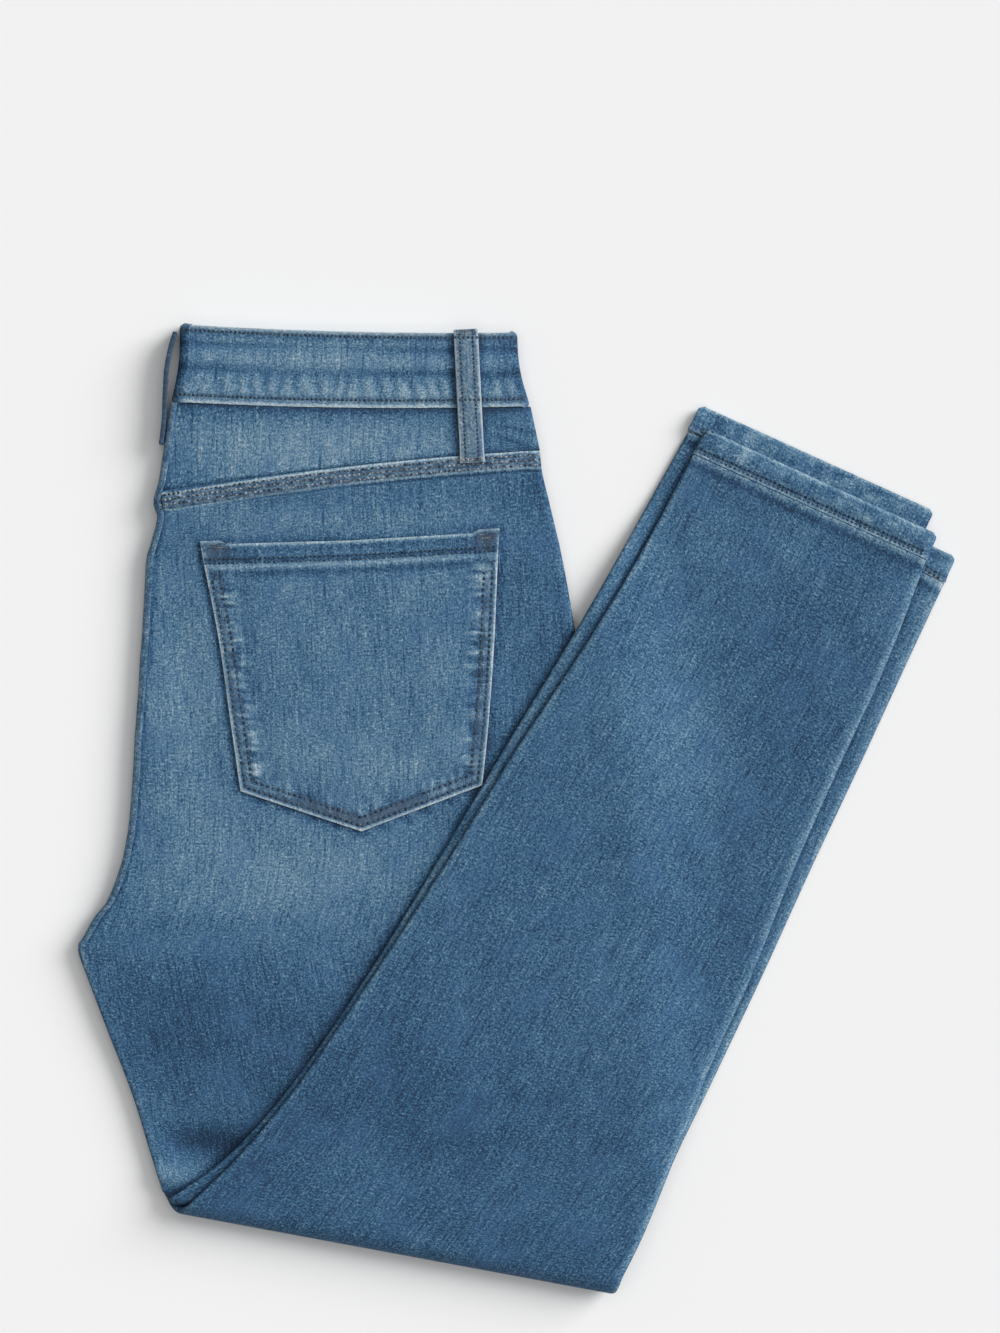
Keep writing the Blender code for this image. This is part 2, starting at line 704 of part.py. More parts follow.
def build_belt_loops():
    """The loop over the right back and the one on the centre back fold."""
    start, end = Vector(BACK_LOOP[0]), Vector(BACK_LOOP[1])
    band_top = BAND_WALL + BAND_LAYER_STEP * 3
    line = []
    for step in range(LOOP_STEPS + 1):
        share = step / LOOP_STEPS
        place = start.lerp(end, share)
        seam_top = low_height(place.x, place.y, TOP_DEPTH - WALL / 2 - SEAM_RAISE)
        on_band = 1 - smooth((share - LOOP_LEAVES_BAND) / LOOP_STEPS_DOWN)
        arch = LOOP_ARCH * math.sin(math.pi * share)
        height = mix(seam_top, band_top, on_band) + SEAM_GAP + arch + LOOP_WALL / 2
        line.append(spot(place.x, place.y, height))
    half = LOOP_WIDTH / 2 * MM
    across = Vector((end.y - start.y, start.x - end.x, 0.0)).normalized() * half
    strap_solid("belt_loop_back", line, across, LOOP_WALL * MM, "denim_trim")

    lean = Vector((math.sin(CENTRE_LOOP_LEAN), 0.0, math.cos(CENTRE_LOOP_LEAN)))
    line = [spot(x, y, LOOP_WIDTH / 2 * lean.z + 0.1) for x, y in CENTRE_LOOP]
    strap_solid("belt_loop_centre", line, lean * half, LOOP_WALL * MM, "denim_trim")


def main():
    """Clear the scene and build every piece."""
    for item in list(bpy.data.objects):
        bpy.data.objects.remove(item)
    build_waistband()
    build_yokes()
    build_backs()
    build_inner_layers()
    build_seat_seam()
    build_pocket()
    build_hems()
    build_belt_loops()


main()
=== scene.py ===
"""Looks of the folded skinny jeans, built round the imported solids.

Tables are in millimetres on the table: X to the right, Y away from the viewer. Heights inside the
pile are told as a depth from the axis of the thigh fold, so one section serves the seat, the turn
and the leg that is folded back over it. Cloth carries a UV map in metres along its own grain.
"""

import logging
import math
from dataclasses import dataclass, field
from enum import Enum
from typing import Callable, NamedTuple, Sequence

import bmesh
import bpy
from mathutils import Matrix, Vector, noise
from mathutils.bvhtree import BVHTree


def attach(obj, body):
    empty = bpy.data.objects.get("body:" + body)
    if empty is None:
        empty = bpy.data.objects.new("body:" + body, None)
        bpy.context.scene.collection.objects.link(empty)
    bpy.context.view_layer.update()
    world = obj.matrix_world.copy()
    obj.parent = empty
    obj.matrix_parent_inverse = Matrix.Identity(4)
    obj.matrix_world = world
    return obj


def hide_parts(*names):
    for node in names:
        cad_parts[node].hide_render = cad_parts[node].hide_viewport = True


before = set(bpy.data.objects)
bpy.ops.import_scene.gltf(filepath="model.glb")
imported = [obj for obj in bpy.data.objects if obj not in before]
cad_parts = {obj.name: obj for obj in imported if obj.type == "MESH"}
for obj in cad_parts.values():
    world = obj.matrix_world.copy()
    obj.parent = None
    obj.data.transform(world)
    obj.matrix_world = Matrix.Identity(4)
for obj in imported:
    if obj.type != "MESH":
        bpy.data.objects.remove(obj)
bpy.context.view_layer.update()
LOG = logging.getLogger("jeans")

MM = 0.001
PILE_MIDDLE = (-0.44, -0.48)
BODY = "root"
# Name of the cloth's painted attribute: worn fading together with painted shade and highlights.
WEAR_AND_SHADE = "wear"
GRAIN = "grain"


# Geometry of the pile


class Lie(Enum):
    """How a section of the jeans lies."""

    LOW = "lower half"
    TURN = "round the thigh fold"
    HIGH = "upper half"


class Row(NamedTuple):
    """One row across the cloth, with its ends on the table and what shows beside it."""

    left_x: float
    left_y: float
    right_x: float
    right_y: float
    bow: float = 0.0
    strip: float = 0.0
    left_show: float = 0.0
    right_show: float = 0.0


class Knot(NamedTuple):
    """One point of a section line: face is 1 on the outer side and -1 where it is turned under."""

    share: float
    offset: float
    depth: float
    face: float = 1.0
    rim: float = 0.0


class Crease(NamedTuple):
    """A soft ridge, or a trough where rise is negative, along a line on the table."""

    start_x: float
    start_y: float
    end_x: float
    end_y: float
    width: float
    rise: float


class Spot(NamedTuple):
    """A soft round change of tone on the table, paler where tone is above zero."""

    x: float
    y: float
    reach_x: float
    reach_y: float
    tone: float


SEAT_ROWS = (
    Row(-189.0, 157.5, 12.2, 178.0, 2.4, 1),
    Row(-194.5, 132.4, 21.8, 138.7, 1.2, 1),
    Row(-196.6, 100.8, 28.9, 100.8, 0.0, 1),
    Row(-200.3, 46.1, 37.6, 43.9, 0.0, 1),
    Row(-204.7, -12.9, 44.5, -12.9, 0.0, 1),
    Row(-213.4, -44.5, 47.1, -43.4, 0.0, 1),
    Row(-222.4, -58.0, 47.7, -57.0, 0.0, 1),
    Row(-228.0, -67.0, 48.4, -67.6, 0.0, 1),
    Row(-231.8, -73.0, 48.7, -74.2, 0.0, 1),
    Row(-229.2, -80.0, 48.8, -81.8, 0.0, 0),
    Row(-223.6, -95.0, 49.2, -97.1, 0.0, 0),
    Row(-213.9, -120.3, 50.3, -125.0, 0.0, 0),
    Row(-201.8, -151.8, 51.8, -164.5, 0.0, 0),
    Row(-193.0, -180.3, 51.6, -206.6, 0.0, 0),
    Row(-186.4, -200.8, 51.0, -245.1, 0.0, 0),
)
LEG_ROWS = (
    Row(-168.6, -204.0, 54.7, -245.2, 0.0, 0.0, 10.0, 0.2),
    Row(-145.0, -180.8, 66.8, -220.8, 0.0, 0.0, 4.4, 0.2),
    Row(-113.4, -142.4, 81.9, -184.2, 0.0, 0.0, 2.8, 0.5),
    Row(-74.5, -85.5, 99.6, -139.4, 0.0, 0.0, 2.6, 4.5),
    Row(-38.2, -29.7, 122.9, -88.2, 0.0, 0.0, 4.4, 5.4),
    Row(1.1, 33.9, 147.1, -27.6, 0.0, 0.0, 5.6, 8.5),
    Row(36.1, 86.6, 171.3, 26.6, 0.0, 0.0, 8.2, 9.7),
    Row(66.1, 136.6, 193.9, 76.1, 0.0, 0.0, 9.0, 9.9),
    Row(92.1, 185.3, 213.7, 128.2, 0.0, 0.0, 7.4, 14.0),
)
YOKE_TOP = Row(-182.1, 212.7, 6.9, 210.3, -2.0, 1)
YOKE_LOW = Row(-189.0, 165.9, 11.7, 187.6, 2.4, 1)
POCKET_ROWS = (
    Row(-166.4, 139.6, -9.4, 146.4, -1.2),
    Row(-164.3, 127.6, -10.2, 134.7, -0.8),
    Row(-156.6, 88.2, -12.2, 88.2, 0.0),
    Row(-150.3, 44.0, -15.0, 47.2, -6.0),
    Row(-145.2, 8.8, -18.5, 12.0, -22.6),
)
SEAT_CREASES = (
    Crease(-208.0, -120.0, -150.0, -196.0, 18.0, -0.7),
    Crease(-196.0, -86.0, -60.0, -156.0, 24.0, 0.8),
    Crease(-218.0, -76.0, -150.0, -62.0, 13.0, 0.5),
    Crease(-203.0, -128.0, -96.0, -126.0, 14.0, -0.5),
    Crease(-184.0, -174.0, -140.0, -182.0, 8.0, -2.6),
    Crease(-196.0, -191.0, -158.0, -198.0, 5.0, 2.2),
    Crease(-160.0, 160.0, -20.0, 168.0, 5.0, -0.45),
    Crease(-150.0, 152.0, 0.0, 159.0, 5.0, 0.35),
    Crease(-6.0, 120.0, 8.0, 20.0, 9.0, -0.5),
    Crease(6.0, 150.0, 22.0, 60.0, 7.0, 0.4),
    Crease(-178.0, 130.0, -164.0, 10.0, 8.0, -0.5),
    Crease(-188.0, 60.0, -184.0, -40.0, 7.0, 0.35),
    Crease(-110.0, -30.0, -10.0, -38.0, 10.0, 0.5),
    Crease(-150.0, -18.0, -60.0, -44.0, 9.0, -0.4),
)
LEG_CREASES = (
    Crease(-146.0, -205.0, 40.0, -236.0, 10.0, 0.5),
    Crease(-120.0, -165.0, 60.0, -205.0, 20.0, -0.7),
    Crease(-60.0, -120.0, 20.0, -200.0, 22.0, 0.5),
    Crease(-20.0, -40.0, 60.0, -130.0, 24.0, 0.6),
    Crease(30.0, -20.0, 96.0, -110.0, 16.0, -0.5),
    Crease(40.0, 60.0, 120.0, -40.0, 22.0, 0.6),
    Crease(100.0, 60.0, 130.0, 0.0, 13.0, -0.5),
    Crease(96.0, 166.0, 205.0, 116.0, 5.0, -0.6),
    Crease(92.0, 157.0, 200.0, 107.0, 6.0, 0.5),
    Crease(160.0, 110.0, 178.0, 60.0, 12.0, -0.5),
    Crease(82.0, 140.0, 120.0, 120.0, 9.0, 0.4),
)
HOLLOW = Spot(-161.8, -176.0, 17.0, 10.0, 1.6)
FELL_DOWN = Vector((0.1, -1.0)).normalized()


def smooth(value: float) -> float:
    """Ease from 0 to 1.

    Args:
        value: Held between 0 and 1 first.

    Returns:
        The eased value.
    """
    value = max(0.0, min(1.0, value))
    return value * value * (3.0 - 2.0 * value)


def mix(start: float, end: float, share: float) -> float:
    """Value between two others."""
    return start + (end - start) * share


def bell(value: float, centre: float, width: float) -> float:
    """Soft bump of height 1 round a centre."""
    return math.exp(-((value - centre) / width) ** 2)


def curve(rows: Sequence[Row], place: float) -> Row:
    """Row at a place along a table, on a smooth curve through its rows.

    Args:
        rows: The table.
        place: Index along it, whole at each row.

    Returns:
        The row there.
    """
    last = len(rows) - 1
    index = min(int(place), last - 1)
    share = place - index
    quad = (rows[max(index - 1, 0)], rows[index], rows[index + 1], rows[min(index + 2, last)])
    fields = []
    for a, b, c, d in zip(*quad):
        lead, follow = (c - a) / 2, (d - b) / 2
        steep = 3 * (c - b) - 2 * lead - follow
        bend = lead + follow - 2 * (c - b)
        fields.append(b + share * (lead + share * (steep + share * bend)))
    return Row(*fields)


def row_point(row: Row, share: float, offset: float = 0.0) -> Vector:
    """Place on the table along a row, shifted along it.

    Args:
        row: The row.
        share: 0 at its left end, 1 at its right end.
        offset: Shift along the row in millimetres.

    Returns:
        The place on the table.
    """
    left, right = Vector((row.left_x, row.left_y)), Vector((row.right_x, row.right_y))
    along = share + offset / (right - left).length
    return left + (right - left) * along + Vector((0.0, row.bow * 4 * along * (1 - along)))


def up_leg(row: Row) -> Vector:
    """Direction on the table from a row towards the next one up the leg.

    Args:
        row: The row.

    Returns:
        Unit direction.
    """
    along = Vector((row.right_x - row.left_x, row.right_y - row.left_y)).normalized()
    return Vector((-along.y, along.x))


def shifted(row: Row, direction: Vector, distance: float) -> Row:
    """A row moved across the table.

    Args:
        row: The row.
        direction: Unit direction on the table.
        distance: How far, in millimetres.

    Returns:
        The moved row.
    """
    step = direction * distance
    return row._replace(left_x=row.left_x + step.x, left_y=row.left_y + step.y,
                        right_x=row.right_x + step.x, right_y=row.right_y + step.y)


def relief(creases: Sequence[Crease], x: float, y: float) -> float:
    """Height of a table's creases at one place.

    Args:
        creases: The table.
        x: Place across.
        y: Place up the picture.

    Returns:
        Rise in millimetres.
    """
    total = 0.0
    for crease in creases:
        run_x, run_y = crease.end_x - crease.start_x, crease.end_y - crease.start_y
        length = math.hypot(run_x, run_y)
        from_x, from_y = x - crease.start_x, y - crease.start_y
        along = (from_x * run_x + from_y * run_y) / length
        aside = (from_y * run_x - from_x * run_y) / length
        aside += 3.0 * math.sin(along / length * 5.0)
        ends = smooth(along / 25.0 + 0.5) * smooth((length - along) / 25.0 + 0.5)
        total += crease.rise * ends * bell(aside, 0.0, crease.width)
    return total


@dataclass(frozen=True)
class Station:
    """One section of the jeans across its length."""

    lie: Lie
    row: Row
    angle: float = 0.0
    slip: tuple[float, float] = (0.0, 0.0)
    lift: float = 0.0
    seam: float = 0.0


@dataclass(frozen=True)
class Pile:
    """Where every layer of the folded pile lies, in millimetres."""

    top_depth: float = 2.2
    floor_depth: float = 9.2
    wall: float = 1.4
    axis_height: float = 9.9
    waist_rise: float = 1.9
    waist_rise_length: float = 130.0
    dome: float = 1.4
    dome_fade: float = 60.0
    stack_gap: float = 0.5
    fold_loft: float = 2.6
    fold_loft_length: float = 50.0
    ramp_start: float = 9.0
    ramp_length: float = 55.0
    hollow_fade: float = 12.0

    @staticmethod
    def leg_edge_at(y: float) -> float:
        """Left edge of the under leg at one distance up the picture.

        Args:
            y: Place up the picture.

        Returns:
            Place across.
        """
        for here, after in zip(LEG_ROWS, LEG_ROWS[1:]):
            if y <= after.left_y:
                share = (y - here.left_y) / (after.left_y - here.left_y)
                return mix(here.left_x, after.left_x, share) - 1.2 * mix(here.left_show, after.left_show, share)
        return LEG_ROWS[-1].left_x

    @staticmethod
    def edge_at(y: float) -> tuple[float, float]:
        """Left and right edge of the lower half at one distance up the picture.

        Args:
            y: Place up the picture.

        Returns:
            Both places across.
        """
        left = right = None
        for here, after in zip(SEAT_ROWS, SEAT_ROWS[1:]):
            if left is None and y >= after.left_y:
                share = max(0.0, (here.left_y - y) / (here.left_y - after.left_y))
                left = mix(here.left_x, after.left_x, share)
            if right is None and y >= after.right_y:
                share = max(0.0, (here.right_y - y) / (here.right_y - after.right_y))
                right = mix(here.right_x, after.right_x, share)
        last = SEAT_ROWS[-1]
        return (last.left_x if left is None else left), (last.right_x if right is None else right)

    @property
    def fold_left(self) -> Vector:
        """Left end of the thigh fold's axis."""
        return Vector((SEAT_ROWS[-1].left_x, SEAT_ROWS[-1].left_y))

    @property
    def fold_out(self) -> Vector:
        """Direction on the table out of the pile over the thigh fold."""
        along = (Vector((SEAT_ROWS[-1].right_x, SEAT_ROWS[-1].right_y)) - self.fold_left).normalized()
        return Vector((along.y, -along.x))

    def fold_distance(self, x: float, y: float) -> float:
        """Distance up the pile from the thigh fold's axis."""
        return -(Vector((x, y)) - self.fold_left).dot(self.fold_out)

    def swell(self, x: float, y: float) -> float:
        """How far the top of the lower half rises above its level height.

        Args:
            x: Place across.
            y: Place up the picture.

        Returns:
            Rise in millimetres.
        """
        left_x, right_x = self.edge_at(y)
        middle, half = (left_x + right_x) / 2, (right_x - left_x) / 2
        across = max(-1.0, min(1.0, (x - middle) / half))
        waist = self.waist_rise * (1 - smooth((YOKE_TOP.left_y - y) / self.waist_rise_length))
        distance = self.fold_distance(x, y)
        dome = self.dome * (1 - across * across) * smooth(distance / self.dome_fade)
        spread = ((x - HOLLOW.x) / HOLLOW.reach_x) ** 2 + ((y - HOLLOW.y) / HOLLOW.reach_y) ** 2
        return waist + dome - HOLLOW.tone * math.exp(-spread) * smooth(distance / self.hollow_fade)

    def low_height(self, x: float, y: float, depth: float, folds: bool = True) -> float:
        """Height of a layer in the lower half.

        Args:
            x: Place across.
            y: Place up the picture.
            depth: Depth under the fold's axis, up to its floor panel.
            folds: Whether the creases are added.

        Returns:
            Height over the table in millimetres.
        """
        share = 1 - smooth((depth - 3.0) / 5.4)
        rise = share * self.swell(x, y)
        if folds and share > 0:
            fade = smooth(self.fold_distance(x, y) / 9.0)
            rise += share * fade * relief(SEAT_CREASES, x, y)
        return self.axis_height - depth + rise

    def high_height(self, x: float, y: float, depth: float) -> float:
        """Height of a layer in the upper half, on the lower half and down a ramp beside it.

        Args:
            x: Place across.
            y: Place up the picture.
            depth: Depth over the fold's axis.

        Returns:
            Height over the table in millimetres.
        """
        ramp = smooth((x - self.edge_at(y)[1] - self.ramp_start) / self.ramp_length)
        distance = self.fold_distance(x, y)
        on_stack = self.axis_height - self.top_depth + self.wall / 2 + self.stack_gap
        on_stack += max(0.0, self.swell(x, y))
        loft = self.fold_loft * (1 - smooth(distance / self.fold_loft_length))
        height = (on_stack + loft) * (1 - ramp) + depth - (self.top_depth - self.wall / 2)
        upper = smooth((depth - 3.0) / 5.0) * smooth(distance / 20.0)
        ahead = self.hem_ahead(x, y)
        sewn = 0.60 * bell(ahead, -0.4, 2.0) - 0.50 * bell(ahead, 3.2, 1.4)
        return height + upper * (relief(LEG_CREASES, x, y) + sewn)

    @staticmethod
    def hem_ahead(x: float, y: float, slip: tuple[float, float] = (0.2, 1.7)) -> float:
        """Distance past the stitched joint of a leg and its hem.

        Args:
            x: Place across.
            y: Place up the picture.
            slip: How far the joint's left and right end lie past the leg's last row.

        Returns:
            Millimetres, below zero on the leg.
        """
        end = LEG_ROWS[-1]
        up = up_leg(end)
        from_x, from_y = x - end.left_x, y - end.left_y
        share = (from_x * up.y - from_y * up.x) / math.hypot(end.right_x - end.left_x, end.right_y - end.left_y)
        return from_x * up.x + from_y * up.y - mix(*slip, share)

    def place(self, station: Station, knot: Knot) -> Vector:
        """Point of a section, in millimetres.

        Args:
            station: The section.
            knot: The point on its line.

        Returns:
            Place on the table and height over it.
        """
        point = row_point(station.row, knot.share, knot.offset)
        if station.lie is Lie.LOW:
            height = self.low_height(point.x, point.y, knot.depth)
            height += station.lift * (1 - smooth((knot.depth - 3.0) / 1.0))
        elif station.lie is Lie.TURN:
            height = self.axis_height - knot.depth * math.cos(station.angle)
            point = point + self.fold_out * knot.depth * math.sin(station.angle)
        else:
            point = point + up_leg(station.row) * mix(*station.slip, knot.share)
            height = self.high_height(point.x, point.y, knot.depth)
        return Vector((point.x, point.y, max(height, 0.0)))


def to_model(point: Vector) -> Vector:
    """Point of the model in metres from its place in millimetres."""
    return Vector((point.x - PILE_MIDDLE[0], point.y - PILE_MIDDLE[1], point.z)) * MM


PILE = Pile()


@dataclass(frozen=True)
class Path:
    """Sections along the jeans, from the waist over the thigh fold to the hems."""

    seat_steps: int = 12
    turn_steps: int = 22
    leg_steps: int = 22
    fell_width: float = 9.5
    fell_raise: float = 0.7
    slip_start: float = 0.8
    under_slip: tuple[float, float] = (10.2, -4.6)
    top_slip: tuple[float, float] = (0.2, 1.7)

    def fell(self) -> list[Station]:
        """Sections of the felled yoke seam, raised, then down its step.

        Returns:
            The sections.
        """
        rows = []
        distance = 0.3
        while distance < self.fell_width + 1.3:
            inside = min(distance - 0.3, self.fell_width - distance)
            lift = self.fell_raise * smooth((inside + 0.7) / 0.9)
            lift += 0.22 * math.sin(math.pi * max(0.0, min(1.0, distance / self.fell_width)) * 3) ** 2 * (lift > 0)
            near = 1.0 if distance < self.fell_width + 0.5 else 0.6
            rows.append(Station(Lie.LOW, shifted(YOKE_LOW, FELL_DOWN, distance), lift=lift, seam=near))
            distance += 0.55
        return rows

    def seat(self) -> list[Station]:
        """Sections of the lower half under the yoke seam.

        Returns:
            The sections.
        """
        count = (len(SEAT_ROWS) - 1) * self.seat_steps
        first = self.seat_steps // 4
        rows = []
        start = shifted(YOKE_LOW, FELL_DOWN, self.fell_width + 2.2)
        for index in range(first, self.seat_steps):
            share = (index - first) / (self.seat_steps - first)
            row = Row(*(mix(a, b, share) for a, b in zip(start, SEAT_ROWS[1])))
            rows.append(Station(Lie.LOW, row, seam=0.5 * (1 - smooth(share * 5))))
        for index in range(self.seat_steps, count + 1):
            rows.append(Station(Lie.LOW, curve(SEAT_ROWS, index / self.seat_steps)))
        return rows

    def turn(self) -> list[Station]:
        """Sections round the thigh fold.

        Returns:
            The sections.
        """
        start, end = SEAT_ROWS[-1], LEG_ROWS[0]
        rows = []
        for step in range(1, self.turn_steps):
            share = step / self.turn_steps
            row = Row(*(mix(a, b, share) for a, b in zip(start, end)))
            row = row._replace(left_show=end.left_show * smooth(share), strip=0.0, bow=0.0)
            rows.append(Station(Lie.TURN, row, angle=math.pi * share))
        return rows

    def leg(self, slip: tuple[float, float]) -> list[Station]:
        """Sections of the upper half up to its hem.

        Args:
            slip: How far the left and right end slip up the leg near its hem.

        Returns:
            The sections.
        """
        count = (len(LEG_ROWS) - 1) * self.leg_steps
        rows = []
        fine = [count - 4 + step / 4 for step in range(17)]
        for index in [float(step) for step in range(count - 4)] + fine:
            share = smooth((index / count - self.slip_start) / (1 - self.slip_start))
            near = smooth((index - count + 6) / 6)
            row = curve(LEG_ROWS, index / self.leg_steps)
            rows.append(Station(Lie.HIGH, row, slip=(slip[0] * share, slip[1] * share), seam=near))
        return rows

    def past_leg(self, distances: Sequence[float], slip: tuple[float, float] = (0.0, 0.0)) -> list[Station]:
        """Sections past the top leg's last one.

        Args:
            distances: How far past it, in millimetres.
            slip: How far the left and right end slip further.

        Returns:
            The sections.
        """
        end = LEG_ROWS[-1]
        return [Station(Lie.HIGH, shifted(end, up_leg(end), distance), slip=slip, seam=1.0)
                for distance in distances]

    def yoke(self, steps: int = 16) -> list[Station]:
        """Sections of the yoke, from the waistband to the felled seam.

        Args:
            steps: How many steps between them.

        Returns:
            The sections.
        """
        rows = []
        for index in range(steps + 1):
            share = index / steps
            near = max(0.8 * (1 - smooth(share * 4)), 0.9 * (1 - smooth((1 - share) * 6)))
            row = Row(*(mix(a, b, share) for a, b in zip(YOKE_TOP, YOKE_LOW)))
            rows.append(Station(Lie.LOW, row, seam=near))
        return rows


PATH = Path()


@dataclass(frozen=True)
class PanelLine:
    """Section line of a flattened leg's panel: an edge turned under at each side, level between."""

    depth: float
    inward: int
    wall: float = 1.4
    covers: bool = False
    edge_round: float = 2.4
    across: int = 78
    run: float = 2.6
    column: float = 8.0
    tuck: bool = True

    def hook(self, side: int, outer: float, back_run: float) -> list[Knot]:
        """Line round one edge, from its turned-under end towards the panel.

        Args:
            side: 1 at the left edge, -1 at the right.
            outer: How far the outline lies beyond the row.
            back_run: How far the turned-under part runs on.

        Returns:
            The knots.
        """
        share = 0.0 if side > 0 else 1.0
        half = self.edge_round / 2
        back = max(back_run, 0.6)
        knots = [(self.run + back, 2.0, -1.0, -1.0), (self.run + back * 0.8, 2.0, -1.0, -0.45),
                 (self.run + back * 0.5, 2.0, -1.0, 0.1), (self.run, 2.0, -1.0, 0.5)]
        for step in range(1, 8):
            angle = math.pi * step / 8
            knots.append((1.9 * (1 - math.sin(angle)), 1 + math.cos(angle), -math.cos(angle), 1.0))
        knots += [(self.run, 0.0, 1.0, 0.5), (self.run + 2.0, 0.0, 1.0, 0.1), (self.column, 0.0, 1.0, 0.0)]
        return [Knot(share, side * (inset - (outer if inset < self.column or face < 0 else 0.0)),
                     self.depth + self.inward * drop * half, face, rim) for inset, drop, face, rim in knots]

    def line(self, station: Station) -> list[Knot]:
        """The whole section line of one station.

        Args:
            station: The section.

        Returns:
            The knots.
        """
        row = station.row
        shows = (row.left_show, row.right_show) if self.covers else (0.0, 0.0)
        strip = 1.3 * min(1.0, max(0.0, row.strip))
        left = self.hook(1, shows[0] - self.wall / 2 - strip, shows[0] + 1.0 - self.run if self.tuck else 0.0)
        right = self.hook(-1, shows[1] - self.wall / 2, shows[1] + 1.0 - self.run)
        inner = [Knot(index / self.across, self.column * (1 - 2 * index / self.across), self.depth)
                 for index in range(1, self.across)]
        return left + inner + right[::-1]


# Cloth pieces


class Tone(NamedTuple):
    """What a point of cloth is painted with: fade together with painted shade and highlights, closeness to a seam, and
    stain.
    """

    fade: float
    seam: float
    stain: float


PaintRule = Callable[[Vector, Station, Knot], Tone]


@dataclass
class ClothGrid:
    """A piece of cloth built as one grid of rows and columns, then given its thickness."""

    name: str
    wall: float
    points: list[list[Vector]]
    tones: list[list[Tone]]
    ring: bool = False
    turned: bool = False
    soft_rim: bool = True

    def build(self) -> bpy.types.Object:
        """Make the grid's object.

        Returns:
            The piece, at the origin, with its place in its mesh.
        """
        rows, columns = len(self.points), len(self.points[0])
        bm = bmesh.new()
        bmesh.ops.create_grid(bm, x_segments=columns - 1, y_segments=rows - 1, size=0.5)
        bm.verts.ensure_lookup_table()
        wear = bm.verts.layers.float_color.new(WEAR_AND_SHADE)
        grain = bm.loops.layers.uv.new(GRAIN)
        across = [self._lengths(row) for row in self.points]
        middle = columns // 2
        along = self._lengths([row[middle] for row in self.points])
        uvs = []
        for r, row in enumerate(self.points):
            for c, point in enumerate(row):
                vert = bm.verts[r * columns + c]
                vert.co = to_model(point)
                tone = self.tones[r][c]
                vert[wear] = (tone.fade, tone.seam, tone.stain, 1.0)
                uvs.append(((across[r][c] - across[r][middle]) * MM, along[r] * MM))
        for face in bm.faces:
            for loop in face.loops:
                loop[grain].uv = uvs[loop.vert.index]
        if self.ring:
            bmesh.ops.remove_doubles(bm, verts=bm.verts[:], dist=1e-6)
        if self.turned:
            bmesh.ops.reverse_faces(bm, faces=bm.faces[:])
        mesh = bpy.data.meshes.new(self.name)
        bm.to_mesh(mesh)
        bm.free()
        mesh.shade_smooth()
        piece = bpy.data.objects.new(self.name, mesh)
        bpy.context.scene.collection.objects.link(piece)
        solid = piece.modifiers.new("wall", "SOLIDIFY")
        solid.thickness = self.wall * MM
        solid.offset = 0.0
        solid.use_even_offset = False
        if self.soft_rim:
            rim = piece.modifiers.new("rim", "BEVEL")
            rim.width = self.wall * 0.3 * MM
            rim.segments = 2
            rim.limit_method = "ANGLE"
            rim.angle_limit = math.radians(52.0)
        return piece

    @staticmethod
    def _lengths(line: Sequence[Vector]) -> list[float]:
        """Length along a line up to each of its points.

        Args:
            line: Its points.

        Returns:
            One length for each point.
        """
        lengths = [0.0]
        for before, after in zip(line, line[1:]):
            lengths.append(lengths[-1] + (after - before).length)
        return lengths


def panel_grid(name: str, stations: Sequence[Station], line: PanelLine, paint: PaintRule, turned: bool) -> ClothGrid:
    """Grid of a panel through its stations.

    Args:
        name: The piece's name.
        stations: Its sections.
        line: Its section line.
        paint: What each point is painted with.
        turned: Whether the faces are turned over.

    Returns:
        The grid.
    """
    points, tones = [], []
    for station in stations:
        knots = line.line(station)
        row = [PILE.place(station, knot) for knot in knots]
        points.append(row)
        tones.append([paint(point, station, knot) for point, knot in zip(row, knots)])
    return ClothGrid(name, line.wall, points, tones, turned=turned, soft_rim=False)


# Paint

YOKE_SPOTS = (
    Spot(-104.0, 190.0, 84.0, 17.0, 0.27),
    Spot(0.0, 200.0, 20.0, 30.0, -0.05),
    Spot(-186.0, 190.0, 14.0, 40.0, -0.10),
    Spot(-120.0, 176.0, 60.0, 6.0, 0.05),
)
LOW_SPOTS = (
    Spot(-174.0, 60.0, 32.0, 84.0, 0.22),
    Spot(-110.0, -34.0, 64.0, 30.0, 0.26),
    Spot(-100.0, 150.0, 90.0, 9.0, 0.16),
    Spot(-180.0, 146.0, 22.0, 14.0, -0.12),
    Spot(22.0, 100.0, 22.0, 60.0, -0.08),
    Spot(-8.0, 60.0, 12.0, 70.0, -0.05),
    Spot(20.0, 165.0, 20.0, 12.0, -0.08),
    Spot(-150.0, -110.0, 90.0, 34.0, -0.17),
    Spot(-176.0, -100.0, 24.0, 20.0, -0.08),
    Spot(-150.0, -146.0, 70.0, 30.0, -0.12),
    # Painted shade in the hollow and in the crease by the thigh fold, with a painted highlight on the lip between
    # them.
    Spot(-163.0, -175.5, 22.0, 8.0, -0.42),
    Spot(-177.0, -191.0, 15.0, 5.0, 0.17),
    Spot(-179.0, -203.0, 10.0, 2.6, -0.80),
    Spot(-205.0, -80.0, 22.0, 20.0, -0.05),
    Spot(-60.0, -70.0, 20.0, 40.0, -0.06),
)
